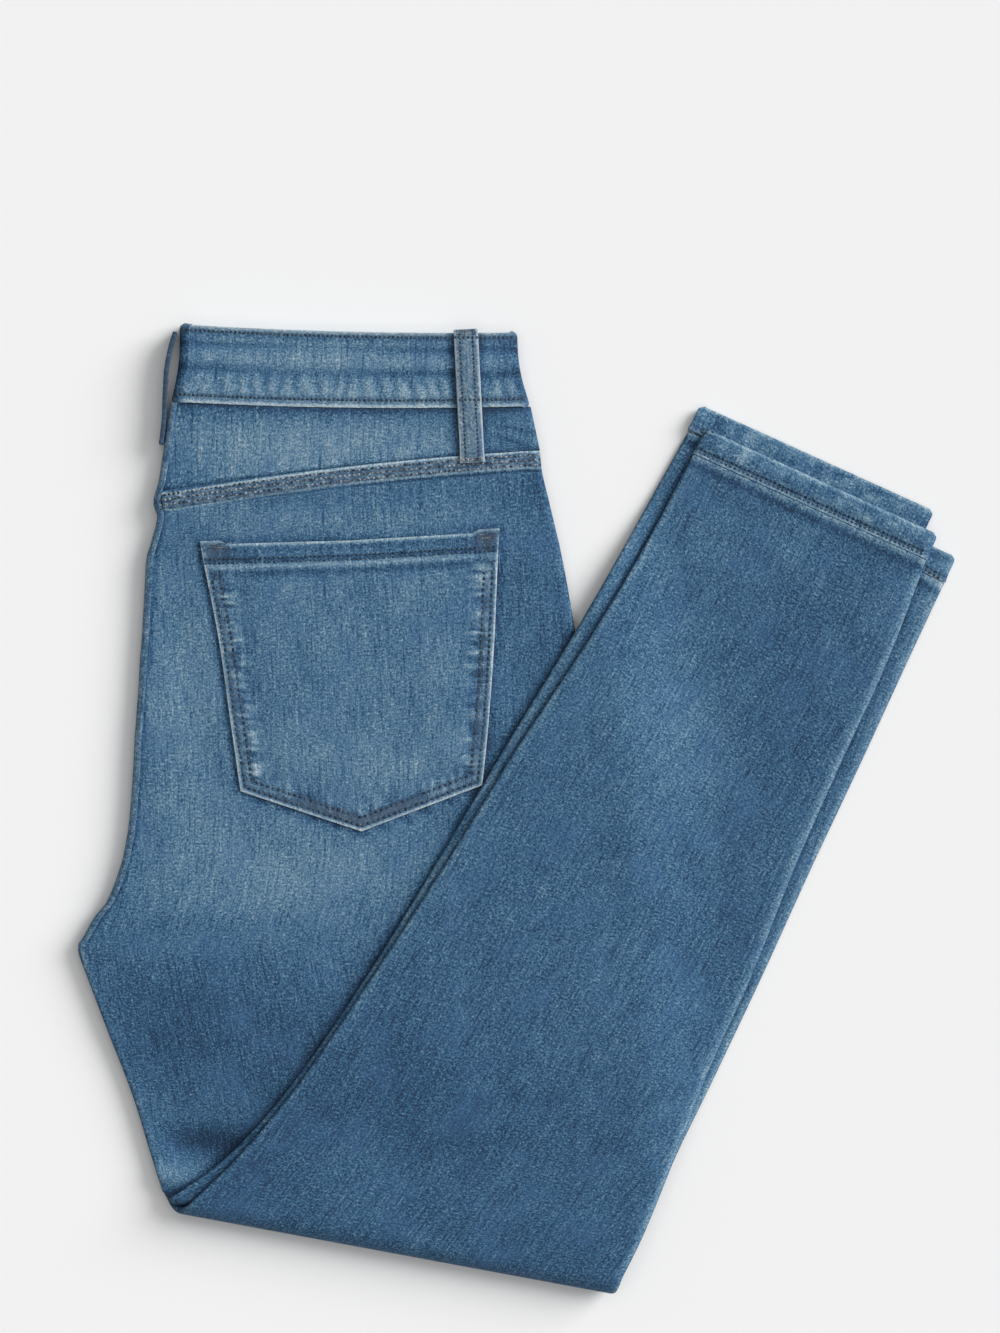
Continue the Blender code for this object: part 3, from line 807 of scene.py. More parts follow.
HIGH_SPOTS = (
    # Painted shade on the top leg near the crease at the thigh fold.
    Spot(-150.0, -190.0, 30.0, 20.0, -0.12),
    Spot(-100.0, -150.0, 100.0, 50.0, -0.13),
    Spot(-100.0, -190.0, 50.0, 20.0, 0.05),
    Spot(-60.0, -214.0, 120.0, 12.0, -0.04),
    Spot(30.0, -230.0, 50.0, 22.0, -0.08),
    Spot(-10.0, -150.0, 60.0, 40.0, 0.03),
    Spot(60.0, 20.0, 40.0, 70.0, 0.05),
    Spot(86.0, 50.0, 28.0, 70.0, 0.06),
    Spot(10.0, -60.0, 40.0, 60.0, 0.02),
    Spot(0.0, -170.0, 60.0, 46.0, -0.07),
    Spot(150.0, 60.0, 22.0, 70.0, -0.06),
    Spot(112.0, -50.0, 18.0, 60.0, -0.06),
    Spot(140.0, 140.0, 60.0, 12.0, 0.06),
    Spot(-70.0, -70.0, 16.0, 50.0, -0.05),
)


@dataclass(frozen=True)
class PocketShape:
    """Outline of the back pocket on the table."""

    tip: tuple[float, float] = (-81.9, -12.2)
    hang: float = 1.6

    @staticmethod
    def aside(place: Vector, start: Vector, end: Vector) -> float:
        """Distance of a place from a line, to its left.

        Args:
            place: The place.
            start: Where the line starts.
            end: Where it ends.

        Returns:
            Millimetres, below zero to its right.
        """
        run = (end - start).normalized()
        away = place - start
        return run.x * away.y - run.y * away.x

    @staticmethod
    def edges(y: float) -> tuple[float, float]:
        """Left and right edge at one distance up the picture.

        Args:
            y: Place up the picture.

        Returns:
            Both places across.
        """
        for here, after in zip(POCKET_ROWS, POCKET_ROWS[1:]):
            if y >= after.left_y:
                share = max(0.0, (here.left_y - y) / (here.left_y - after.left_y))
                return mix(here.left_x, after.left_x, share), mix(here.right_x, after.right_x, share)
        return POCKET_ROWS[-1].left_x, POCKET_ROWS[-1].right_x

    def inside(self, x: float, y: float) -> float:
        """Distance in from the nearest side or bottom edge.

        Args:
            x: Place across.
            y: Place up the picture.

        Returns:
            Millimetres, below zero outside.
        """
        left, right = self.edges(y)
        last, place, tip = POCKET_ROWS[-1], Vector((x, y)), Vector(self.tip)
        low_left, low_right = Vector((last.left_x, last.left_y)), Vector((last.right_x, last.right_y))
        return min(x - left, right - x, self.aside(place, low_left, tip), self.aside(place, tip, low_right))

    def dip(self, x: float) -> float:
        """How far the top edge hangs between its tacked corners."""
        top = POCKET_ROWS[0]
        return self.hang * smooth((min(x - top.left_x, top.right_x - x) - 10.5) / 4.0)

    @staticmethod
    def top(share: float) -> float:
        """Place up the picture of the hem's top edge before it hangs, 0 to 1 across it."""
        row = POCKET_ROWS[0]
        return mix(row.left_y, row.right_y, share) + row.bow * (1 - abs(2 * share - 1))

    def down(self, x: float, y: float) -> float:
        """Distance under the hem's top edge."""
        row = POCKET_ROWS[0]
        return self.top((x - row.left_x) / (row.right_x - row.left_x)) - y - self.dip(x)


@dataclass(frozen=True)
class LoopShape:
    """Outline of the belt loop over the back."""

    start: tuple[float, float] = (-27.2, 250.8)
    end: tuple[float, float] = (-23.6, 180.8)
    width: float = 12.6

    def across(self) -> Vector:
        """Unit direction over the loop's width."""
        run = Vector(self.end) - Vector(self.start)
        return Vector((run.y, -run.x)).normalized()

    def outside(self, x: float, y: float) -> float:
        """Distance out from the loop, below zero on it.

        Args:
            x: Place across.
            y: Place up the picture.

        Returns:
            Millimetres.
        """
        start, end = Vector(self.start), Vector(self.end)
        place, run = Vector((x, y)) - start, (end - start).normalized()
        aside = abs(place.dot(self.across())) - self.width / 2
        past = place.dot(run) - (end - start).length
        return max(aside, past)


POCKET, LOOP = PocketShape(), LoopShape()


def cloud(point: Vector, size: float) -> float:
    """Soft unevenness at a place, from -1 to 1."""
    return noise.noise(Vector((point.x, point.y, point.z * 2)) / size)


@dataclass(frozen=True)
class Painter:
    """Wear and painted light of each part of the garment: how far it is faded, the painted shadow beside its seams and
    under its edges, and a few painted highlights.
    """

    leg_tone: float = 0.394
    seat_tone: float = 0.475
    yoke_tone: float = 0.53

    @staticmethod
    def spots(table: Sequence[Spot], x: float, y: float) -> float:
        """Sum of a table's soft changes of tone at one place.

        Args:
            table: The spots.
            x: Place across.
            y: Place up the picture.

        Returns:
            The tone, 0 where the cloth is as it is.
        """
        total = 0.0
        for spot in table:
            far = ((x - spot.x) / spot.reach_x) ** 2 + ((y - spot.y) / spot.reach_y) ** 2
            if far < 9.0:
                total += spot.tone * math.exp(-far)
        return total

    @staticmethod
    def edge(station: Station, knot: Knot, pale: float) -> float:
        """Tone of a folded edge: worn pale on its upper side, with painted shade on its lower side.

        Args:
            station: The section it lies in.
            knot: Its point.
            pale: How pale its upper side is.

        Returns:
            The tone, below zero as painted shade on its lower side and where another layer lies against it.
        """
        upright = {Lie.LOW: 1.0, Lie.TURN: math.cos(station.angle), Lie.HIGH: -1.0}[station.lie]
        up = knot.face * (upright if knot.depth < 5.6 else -upright)
        # Painted shade on the turned-under tail of the edge; further down, painted shade on its lower side.
        if knot.rim < 0:
            return 0.45 * knot.rim
        return pale * knot.rim * smooth(up / 0.5) - 0.42 * knot.rim * smooth((0.35 - up) / 0.6)

    @staticmethod
    def beside(x: float, y: float) -> float:
        """Painted shadow lines on the cloth round the pocket and the belt loop.

        Args:
            x: Place across.
            y: Place up the picture.

        Returns:
            The tone, zero or below.
        """
        out = -min(POCKET.inside(x, y), POCKET.down(x, y))
        tone = -0.42 * bell(out, 0.7, 1.5) if out > -3.0 else 0.0
        away = LOOP.outside(x, y)
        if -2.0 < away < 14.0:
            tone -= 0.40 * bell(max(away, 0.0), 0.0, 2.4)
        return tone

    def low(self, point: Vector, station: Station, knot: Knot) -> Tone:
        """Paint of the seat: worn pale over the seat and under the pocket, dark towards the thigh, with painted shadow
        lines at its seams' and layers' edges.

        Args:
            point: The place in millimetres.
            station: Its section.
            knot: Its point on the line.

        Returns:
            The tone.
        """
        x, y = point.x, point.y
        fade = self.seat_tone + self.spots(LOW_SPOTS, x, y) + 0.05 * cloud(point, 40.0) + 0.04 * cloud(point, 14.0)
        if knot.depth > 5.6:
            return Tone(fade + self.edge(station, knot, 0.1), 0.0, 0.0)
        left_x, right_x = PILE.edge_at(y)
        wrapped = min(1.0, max(0.0, station.row.strip))
        # Painted shadow: a dark line at the inner edge of the wrapped seat seam, one along the under leg's edge, and
        # those round the pocket and belt loop; the seat is also darker along its right edge.
        line = -0.40 * bell(x - left_x, 5.0, 1.2) * wrapped
        turned = -0.12 * bell(x, right_x, 7.0)
        leg_contact_shadow = -0.34 * bell(max(PILE.leg_edge_at(y) - x, 0.0), 0.0, 2.4)
        fade += self.edge(station, knot, 0.14) + line + turned + leg_contact_shadow + self.beside(x, y)
        return Tone(fade, 0.8 * station.seam, 0.0)

    def fell(self, point: Vector, station: Station, knot: Knot) -> Tone:
        """Paint of the felled yoke seam: pale worn edges, painted shadow lines beside them, grey between.

        Args:
            point: The place in millimetres.
            station: Its section.
            knot: Its point on the line.

        Returns:
            The tone.
        """
        past = -(point.y - row_point(YOKE_LOW, knot.share).y)
        pale = 0.74 * bell(past, 1.0, 0.75) + 0.50 * bell(past, 9.1, 0.8)
        # Painted shadow lines above and below the raised fell.
        dark = -0.40 * bell(past, 0.0, 0.5) - 0.42 * bell(past, 10.8, 1.2)
        inner = smooth((past - 1.4) / 0.8) * smooth((8.8 - past) / 0.8)
        uneven = 0.95 * noise.noise(Vector((point.x / 1.9, past / 1.5, 3.0))) * inner - 0.05 * inner
        fade = 0.54 + pale + dark + uneven + 0.04 * cloud(point, 20.0)
        # Painted shade beside the belt loop.
        away = LOOP.outside(point.x, point.y)
        fade -= 0.2 * bell(max(away, 0.0), 0.0, 2.2) if away > -2.0 else 0.0
        return Tone(fade, 0.7 * inner, 0.55 * inner)

    def high(self, point: Vector, station: Station, knot: Knot) -> Tone:
        """Paint of the legs, with their folded edges worn pale and painted shade on their undersides, and a painted
        shadow line under the hem.

        Args:
            point: The place in millimetres.
            station: Its section.
            knot: Its point on the line.

        Returns:
            The tone.
        """
        fade = self.leg_tone + self.spots(HIGH_SPOTS, point.x, point.y) + 0.06 * cloud(point, 45.0)
        pale = 0.34 if knot.share > 0.5 else 0.20
        ahead = PILE.hem_ahead(point.x, point.y, station.slip)
        # A pale worn ridge at the hem's joint and a painted shadow line under it.
        hem = 0.34 * bell(ahead, -0.6, 2.3) - 0.30 * bell(ahead, -5.0, 1.9)
        hem += 0.24 * noise.noise(Vector((point.x / 2.4, point.y / 5.0, 3.0))) * bell(ahead, -0.6, 2.4)
        fade += self.edge(station, knot, pale) + hem + 0.05 * cloud(point, 12.0)
        return Tone(fade, 0.5 * station.seam, 0.0)

    def leg(self, point: Vector, station: Station, knot: Knot) -> Tone:
        """Paint of a whole leg panel: the seat's below the fold, the leg's above it.

        Args:
            point: The place in millimetres.
            station: Its section.
            knot: Its point on the line.

        Returns:
            The tone.
        """
        if station.lie is Lie.LOW:
            felled = station.seam >= 0.6 and knot.depth < 4.0
            return self.fell(point, station, knot) if felled else self.low(point, station, knot)
        if station.lie is Lie.HIGH:
            return self.high(point, station, knot)
        low, high = self.low(point, station, knot), self.high(point, station, knot)
        return Tone(mix(low.fade, high.fade, smooth(station.angle / math.pi)), 0.0, 0.0)

    def yoke(self, point: Vector, station: Station, knot: Knot) -> Tone:
        """Paint of the yoke: palest in its middle, dark at its ends, with painted shadow under the waistband and
        beside its seams and belt loop, and painted shade in its small wrinkles.

        Args:
            point: The place in millimetres.
            station: Its section.
            knot: Its point on the line.

        Returns:
            The tone.
        """
        x, y = point.x, point.y
        fade = self.yoke_tone + self.spots(YOKE_SPOTS, x, y) + 0.06 * cloud(point, 26.0) + 0.05 * cloud(point, 9.0)
        left_x, right_x = PILE.edge_at(y)
        share = (x - YOKE_TOP.left_x) / (YOKE_TOP.right_x - YOKE_TOP.left_x)
        top = mix(YOKE_TOP.left_y, YOKE_TOP.right_y, share) - 2.0 * 4 * share * (1 - share) - y
        low = y - row_point(YOKE_LOW, knot.share).y
        # Painted shadow under the waistband and above the fell, a painted shadow line at the wrapped seat seam's inner
        # edge, and darker towards the right edge.
        near = -0.60 * bell(top, 0.2, 1.8) - 0.14 * bell(top, 3.0, 5.0) - 0.30 * bell(low, 0.0, 1.6)
        near -= 0.36 * bell(x - left_x, 5.2, 1.3) + 0.12 * bell(x, right_x, 6.0)
        # Painted shade in two thin wrinkles near the belt loop.
        wrinkle_shade = -0.26 * bell(y - 193.0 + 0.35 * (x + 5.0), 0.0, 1.3) * smooth((x + 18.0) / 8.0)
        wrinkle_shade -= 0.22 * bell(y - 199.5 + 0.2 * (x + 5.0), 0.0, 1.1) * smooth((x + 16.0) / 8.0)
        fade += near + wrinkle_shade + self.edge(station, knot, 0.1) + self.beside(x, y)
        return Tone(fade, 0.6 * station.seam, 0.0)


PAINTER = Painter()


# Materials


class Signal:
    """A shader socket that can be used in Python expressions."""

    def __init__(self, graph: "Graph", socket: bpy.types.NodeSocket) -> None:
        """Wrap a socket of a graph."""
        self.graph = graph
        self.socket = socket

    def _math(self, operation: str, first: "Value", second: "Value") -> "Signal":
        """Math node on two values."""
        return self.graph.node("ShaderNodeMath", {"operation": operation}, {0: first, 1: second})

    def __add__(self, other: "Value") -> "Signal":
        """Sum."""
        return self._math("ADD", self, other)

    __radd__ = __add__

    def __sub__(self, other: "Value") -> "Signal":
        """Difference."""
        return self._math("SUBTRACT", self, other)

    def __rsub__(self, other: "Value") -> "Signal":
        """Difference from a number."""
        return self._math("SUBTRACT", other, self)

    def __mul__(self, other: "Value") -> "Signal":
        """Product."""
        return self._math("MULTIPLY", self, other)

    __rmul__ = __mul__


Value = Signal | float


class Graph:
    """Node graph of one material."""

    def __init__(self, name: str) -> None:
        """Start a material with its Principled shader.

        Args:
            name: The material's name.
        """
        self.material = bpy.data.materials.new(name)
        self.material.use_nodes = True
        self.tree = self.material.node_tree
        self.shader = self.tree.nodes["Principled BSDF"]

    def node(self, kind: str, settings: dict | None = None, inputs: dict | None = None,
             output: int | str = 0) -> Signal:
        """Add one node.

        Args:
            kind: Its type.
            settings: Its properties; "stops" sets a ramp's positions and colours.
            inputs: Its sockets' values or links, by name or index.
            output: The socket that is returned.

        Returns:
            The node's output.
        """
        item = self.tree.nodes.new(kind)
        for key, value in (settings or {}).items():
            if key == "stops":
                ramp = item.color_ramp
                while len(ramp.elements) < len(value):
                    ramp.elements.new(1.0)
                for element, (position, colour) in zip(ramp.elements, value):
                    element.position = position
                    element.color = (*colour, 1.0)
            else:
                setattr(item, key, value)
        for key, value in (inputs or {}).items():
            socket = item.inputs[key]
            if isinstance(value, Signal):
                self.tree.links.new(value.socket, socket)
            else:
                socket.default_value = value
        return Signal(self, item.outputs[output])

    def stretch(self, source: Signal, x: float, y: float) -> Signal:
        """Coordinates scaled across and along."""
        return self.node("ShaderNodeVectorMath", {"operation": "MULTIPLY"}, {0: source, 1: (x, y, 1.0)})

    def clouds(self, source: Signal, scale: float, detail: float = 2.0, rough: float = 0.5) -> Signal:
        """Noise of a number of features to the metre.

        Args:
            source: Coordinates in metres.
            scale: Features to the metre.
            detail: Octaves.
            rough: How strong the finer octaves are.

        Returns:
            The noise, from 0 to 1.
        """
        return self.node("ShaderNodeTexNoise", {"noise_dimensions": "2D"},
                         {"Vector": source, "Scale": scale, "Detail": detail, "Roughness": rough}, "Fac")

    def ramp(self, source: Signal, low: float, high: float) -> Signal:
        """Value eased from 0 at low to 1 at high."""
        return self.node("ShaderNodeMapRange", {"interpolation_type": "SMOOTHSTEP"},
                         {"Value": source, "From Min": low, "From Max": high}, "Result")

    def blend(self, factor: Value, first: "Signal | tuple", second: "Signal | tuple") -> Signal:
        """Colour between two others."""
        return self.node("ShaderNodeMix", {"data_type": "RGBA"}, {"Factor": factor, "A": first, "B": second}, "Result")

    def wire(self, name: str, value: Signal) -> None:
        """Link a value to one of the shader's sockets."""
        self.tree.links.new(value.socket, self.shader.inputs[name])


INDIGO = (
    (0.0, (0.006, 0.024, 0.060)),
    (0.1875, (0.009, 0.059, 0.140)),
    (0.375, (0.037, 0.121, 0.225)),
    (0.5625, (0.101, 0.201, 0.298)),
    (0.75, (0.212, 0.320, 0.400)),
    (0.90, (0.330, 0.430, 0.495)),
    (1.0, (0.520, 0.590, 0.625)),
)


@dataclass(frozen=True)
class DenimFinish:
    """Washed stretch denim: indigo warp and pale weft, worn and with painted shade where the tone says so."""

    name: str = "denim"
    lift: float = 0.0
    deep_colour: tuple[float, float, float] = (0.048, 0.125, 0.278)
    stain_colour: tuple[float, float, float] = (0.078, 0.112, 0.155)
    roughness: float = 0.92

    def make(self) -> bpy.types.Material:
        """Build the material.

        Returns:
            The material, which reads the cloth's grain and its wear and painted shade.
        """
        g = Graph(self.name)
        grain = g.node("ShaderNodeUVMap", {"uv_map": GRAIN})
        wear = g.node("ShaderNodeAttribute", {"attribute_name": WEAR_AND_SHADE}, output="Color")
        split = g.node("ShaderNodeSeparateColor", inputs={"Color": wear}, output="Red")
        parts = split.socket.node.outputs
        # fade holds the worn fading together with the painted shade and highlights.
        fade, seam, stain = split, Signal(g, parts["Green"]), Signal(g, parts["Blue"])
        speck = g.clouds(grain, 900.0, 3.0, 0.8)
        blotch = g.clouds(grain, 60.0, 4.0, 0.6)
        warp = g.clouds(g.stretch(grain, 1.0, 0.13), 720.0, 1.0)
        weft = g.clouds(g.stretch(grain, 0.36, 1.0), 880.0, 1.0)
        long_warp = g.clouds(g.stretch(grain, 1.0, 0.05), 560.0, 1.0)
        slub = g.ramp(warp, 0.58, 0.76) * 0.11 - g.ramp(warp, 0.42, 0.26) * 0.14
        slub = slub + g.ramp(weft, 0.58, 0.74) * 0.17 - g.ramp(weft, 0.42, 0.28) * 0.16
        slub = slub + g.ramp(long_warp, 0.62, 0.78) * 0.12 - g.ramp(long_warp, 0.38, 0.24) * 0.14
        pucker = g.clouds(grain, 250.0, 2.0, 0.6)
        fine = g.clouds(grain, 620.0, 1.0, 0.5)
        tone = fade + (speck - 0.5) * (2.55 - fade * 1.10) + slub + (blotch - 0.5) * 0.22
        tone = tone + seam * (pucker - 0.45) * 0.85 + stain * (fine - 0.5) * 1.1 + self.lift
        base = g.node("ShaderNodeValToRGB", {"stops": INDIGO}, {"Fac": tone * 0.75}, "Color")
        hue = g.clouds(grain, 38.0, 2.0)
        base = g.blend(g.ramp(hue, 0.45, 0.75) * 0.22, base, (*self.deep_colour, 1.0))
        base = g.blend(stain * 0.6, base, (*self.stain_colour, 1.0))
        g.wire("Base Color", base)
        g.wire("Roughness", self.roughness - speck * 0.08)
        twill = g.node("ShaderNodeTexWave", {"wave_type": "BANDS", "bands_direction": "DIAGONAL"},
                       {"Vector": grain, "Scale": 190.0, "Distortion": 1.2, "Detail": 1.0}, "Fac")
        height = twill * 0.10 + speck * 0.5 + slub * 1.2 + seam * pucker * 2.4 + stain * fine * 0.8
        g.wire("Normal", g.node("ShaderNodeBump", inputs={
            "Strength": 0.7, "Distance": 0.0005, "Height": height}, output="Normal"))
        return g.material


@dataclass(frozen=True)
class ThreadFinish:
    """Sewing thread with its ply and shade changing from stitch to stitch."""

    name: str
    dark: tuple[float, float, float]
    light: tuple[float, float, float]

    def make(self) -> bpy.types.Material:
        """Build the material.

        Returns:
            The material.
        """
        g = Graph(self.name)
        place = g.node("ShaderNodeTexCoord", output="Object")
        spread = g.node("ShaderNodeTexNoise", inputs={"Vector": place, "Scale": 420.0, "Detail": 1.0}, output="Fac")
        base = g.blend(g.ramp(spread, 0.4, 0.62), (*self.dark, 1.0), (*self.light, 1.0))
        g.wire("Base Color", base)
        ply = g.node("ShaderNodeTexNoise", inputs={"Vector": place, "Scale": 3200.0}, output="Fac")
        g.wire("Roughness", 0.7 + ply * 0.2)
        g.wire("Normal", g.node("ShaderNodeBump", inputs={
            "Strength": 0.4, "Distance": 0.0002, "Height": ply}, output="Normal"))
        return g.material


@dataclass(frozen=True)
class FloorFinish:
    """The plain pale surface."""

    colour: tuple[float, float, float] = (0.86, 0.86, 0.86)

    def make(self) -> bpy.types.Material:
        """Build the material.

        Returns:
            The material.
        """
        g = Graph("floor")
        g.shader.inputs["Base Color"].default_value = (*self.colour, 1.0)
        g.shader.inputs["Roughness"].default_value = 0.95
        g.shader.inputs["Specular IOR Level"].default_value = 0.1
        return g.material


@dataclass
class Wardrobe:
    """The finishes, made once."""

    denim: bpy.types.Material = field(default_factory=lambda: DenimFinish().make())
    trim: bpy.types.Material = field(default_factory=lambda: DenimFinish(name="denim_trim", lift=0.04).make())
    thread: bpy.types.Material = field(default_factory=lambda: ThreadFinish(
        "thread_grey", (0.008, 0.020, 0.040), (0.040, 0.075, 0.112)).make())
    pale: bpy.types.Material = field(default_factory=lambda: ThreadFinish(
        "thread_pale", (0.014, 0.020, 0.032), (0.300, 0.330, 0.360)).make())
    tack: bpy.types.Material = field(default_factory=lambda: ThreadFinish(
        "thread_tack", (0.055, 0.065, 0.078), (0.290, 0.290, 0.285)).make())


def dress(piece: bpy.types.Object, material: bpy.types.Material, slot: str, *nodes: str) -> bpy.types.Object:
    """Give a piece its material, body and the solids that it stands for.

    Args:
        piece: The piece.
        material: Its material.
        slot: Not used.
        nodes: The solids it replaces.

    Returns:
        The piece.
    """
    piece.data.materials.append(material)
    if nodes:
        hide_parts(*nodes)
    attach(piece, BODY)
    return piece


# Sub-assemblies


@dataclass
class BackPanels:
    """Both backs: the right one on top of the lower half, the left one under it and on top of the legs."""

    wardrobe: Wardrobe

    def build(self) -> list[bpy.types.Object]:
        """Build both panels.

        Returns:
            The right and the left back.
        """
        lower = PATH.fell() + PATH.seat() + PATH.turn()
        top = PanelLine(PILE.top_depth, 1, covers=True)
        floor = PanelLine(PILE.floor_depth, -1)
        right = panel_grid("back_right_cloth", lower + PATH.leg(PATH.under_slip), top, PAINTER.leg, True).build()
        flat = [Station(s.lie, s.row, s.angle, s.slip, 0.0, s.seam) for s in lower]
        left = panel_grid("back_left_cloth", flat + PATH.leg(PATH.top_slip), floor, PAINTER.leg, False).build()
        dress(right, self.wardrobe.denim, "denim_body", "back_right")
        dress(left, self.wardrobe.denim, "denim_body", "back_left")
        return [right, left]


@dataclass
class Yokes:
    """Both halves of the yoke."""

    wardrobe: Wardrobe

    def build(self) -> list[bpy.types.Object]:
        """Build both halves.

        Returns:
            The right and the left yoke.
        """
        rows = PATH.yoke()
        right = panel_grid("yoke_right_cloth", rows, PanelLine(PILE.top_depth, 1, covers=True), PAINTER.yoke,
                           True).build()
        left = panel_grid("yoke_left_cloth", rows, PanelLine(PILE.floor_depth, -1), PAINTER.yoke, False).build()
        for piece, node in ((right, "yoke_right"), (left, "yoke_left")):
            dress(piece, self.wardrobe.denim, "denim_faded", node)
        return [right, left]


@dataclass
class FrontPanels:
    """Both fronts, inside the fold."""

    wardrobe: Wardrobe
    depths: tuple[float, float] = (4.35, 7.3)
    inset: float = 5.6
    across: int = 26

    def line(self, station: Station, depth: float) -> list[Knot]:
        """Level section line between the backs' edges.

        Args:
            station: The section.
            depth: Depth under the fold's axis.

        Returns:
            The knots.
        """
        left = self.inset + 1.3 * min(1.0, max(0.0, station.row.strip))
        return [Knot(index / self.across, mix(left, -self.inset, index / self.across), depth)
                for index in range(self.across + 1)]

    def build(self) -> list[bpy.types.Object]:
        """Build both fronts.

        Returns:
            The right and the left front.
        """
        rows = (PATH.yoke(6)[:-1] + PATH.fell()[::4] + PATH.seat()[::3] + PATH.turn()[::2] + PATH.leg((0.0, 0.0))[::3])
        plain = [Station(s.lie, s.row, s.angle) for s in rows]
        end = PATH.past_leg((3.0, 6.0, Hems.front_ahead - 0.3))
        pieces = []
        for name, depth, stations in (("front_right_cloth", self.depths[0], plain + end),
                                      ("front_left_cloth", self.depths[1], plain)):
            points = [[PILE.place(station, knot) for knot in self.line(station, depth)] for station in stations]
            tones = [[Tone(0.42, 0.0, 0.0)] * len(row) for row in points]
            piece = ClothGrid(name, 1.2, points, tones, turned=depth < 6.0, soft_rim=False).build()
            pieces.append(piece)
        dress(pieces[0], self.wardrobe.denim, "denim_body", "inner_layers")
        dress(pieces[1], self.wardrobe.denim, "denim_body")
        return pieces


@dataclass
class Waistband:
    """The waistband, one closed loop folded in four."""

    wardrobe: Wardrobe
    top_left: tuple[float, float] = (-177.6, 253.6)
    top_right: tuple[float, float] = (-0.1, 249.2)
    low_left: tuple[float, float] = (-182.0, 213.0)
    low_right: tuple[float, float] = (6.8, 210.6)
    top_bow: float = 1.7
    low_bow: float = -2.0
    wall: float = 2.2
    cad_wall: float = 2.4
    layer_step: float = 3.0
    rows: int = 40
    corner: float = 2.2
    corner_share: float = 16.0
    left_bow: float = 1.8
    right_bow: float = 2.0

    def edges(self, across: float) -> tuple[Vector, Vector]:
        """Places on the band's top and lower edge.

        Args:
            across: 0 to 1 over the quarter.

        Returns:
            Both places on the table.
        """
        top = Vector(self.top_left).lerp(Vector(self.top_right), across)
        low = Vector(self.low_left).lerp(Vector(self.low_right), across)
        crown = 4 * across * (1 - across)
        top.y -= self.top_bow * crown
        low.y += self.low_bow * crown
        return top, low

    def spot(self, across: float, down: float, height: float) -> Vector:
        """Place on the band: across and down run from 0 to 1 over its quarter.

        Args:
            across: 0 to 1 over the quarter.
            down: 0 at the top edge, 1 at the lower one.
            height: Height over the table.

        Returns:
            The place in millimetres.
        """
        near_end = min(down, 1 - down) * self.corner_share
        round_off = self.corner * (1 - math.sqrt(max(0.0, 1 - max(0.0, 1 - near_end) ** 2))) / 185.0
        across = mix(round_off, 1 - round_off, across)
        top, low = self.edges(across)
        point = top.lerp(low, down)
        point.x += (self.left_bow * (1 - across) ** 5 - self.right_bow * across ** 5) * math.sin(math.pi * down)
        return Vector((point.x, point.y, max(height, self.wall / 2 + 0.1)))

    def path(self) -> tuple[list[tuple[float, float, float]], float]:
        """Closed line of the folded band.

        Returns:
            Distance across, height and how much of the outer face each point is; and the width.
        """
        width = (Vector(self.low_right) - Vector(self.low_left)).length
        levels = [self.cad_wall / 2 + self.layer_step * index for index in range(4)]
        small, big = self.layer_step / 2, (levels[3] - levels[0]) / 2
        left_end, right_end = self.cad_wall / 2 + big, width - self.cad_wall / 2 - small
        front = self.cad_wall * 1.5 + 1.0 + small
        path: list[tuple[float, float, float]] = []

        def level(start: float, end: float, height: float, steps: int, face: float) -> None:
            """Straight run of the line.

            Args:
                start: Where it starts across.
                end: Where it ends.
                height: Its height.
                steps: How many steps.
                face: How much of the outer face it is.
            """
            for step in range(steps + 1):
                path.append((mix(start, end, step / steps), height, face))

        def turn(centre: float, height: float, radius: float, start: float, end: float, steps: int,
                 face: float) -> None:
            """Round fold of the line.

            Args:
                centre: Its centre across.
                height: Its centre's height.
                radius: Its radius.
                start: Its first angle.
                end: Its last one.
                steps: How many steps.
                face: How much of the outer face it is.
            """
            for step in range(1, steps):
                angle = math.radians(mix(start, end, step / steps))
                path.append((centre + radius * math.cos(angle), height + radius * math.sin(angle), face))

        level(right_end, left_end, levels[3], 120, 1.0)
        turn(left_end, (levels[0] + levels[3]) / 2, big, 90, 270, 16, 0.6)
        level(left_end, right_end, levels[0], 40, 0.0)
        turn(right_end, (levels[0] + levels[1]) / 2, small, -90, 90, 8, 0.3)
        level(right_end, front, levels[1], 20, 0.0)
        turn(front, (levels[1] + levels[2]) / 2, small, 270, 90, 8, 0.0)
        level(front, right_end, levels[2], 20, 0.0)
        turn(right_end, (levels[2] + levels[3]) / 2, small, -90, 90, 8, 0.6)
        path.append(path[0])
        return path, width

    def bands(self, across: float, down: float) -> tuple[float, float]:
        """How deep a place lies in each of the two soft troughs along the band.

        Args:
            across: 0 to 1 over the quarter.
            down: 0 at the top edge, 1 at the lower one.

        Returns:
            0 to 1 for the upper and the lower trough.
        """
        sway = 0.03 * noise.noise(Vector((across * 5.0, 0.0, 3.1)))
        strong = 0.35 + 0.65 * smooth(abs(across - 0.42) / 0.4)
        first = bell(down, 0.235 + sway, 0.055) * strong
        second = bell(down, 0.555 - sway, 0.06) * (0.45 + 0.55 * smooth(abs(across - 0.36) / 0.3))
        return first, second

    def puckers(self, across: float, down: float) -> float:
        """Upright puckers over the lower stitching, from -1 to 1.

        Args:
            across: 0 to 1 over the quarter.
            down: 0 at the top edge, 1 at the lower one.

        Returns:
            The rise.
        """
        place = across * 22.0 + 0.6 * noise.noise(Vector((across * 12.0, down * 3.0, 1.7)))
        wave = math.sin(2 * math.pi * place) + 0.8 * noise.noise(Vector((across * 60.0, down * 4.0, 7.7)))
        return 0.6 * wave * bell(down, 0.75, 0.15) * smooth((across - 0.04) / 0.1)

    def bulge(self, across: float, down: float) -> float:
        """Soft ridges along the band and puckers over its lower stitching, in millimetres.

        Args:
            across: 0 to 1 over the quarter.
            down: 0 at the top edge, 1 at the lower one.

        Returns:
            The rise.
        """
        first, second = self.bands(across, down)
        rows = -0.30 * bell(down, 0.05, 0.03) - 0.38 * bell(down, 0.915, 0.03)
        return rows - 0.75 * first - 0.75 * second + 0.30 * self.puckers(across, down) + 0.25

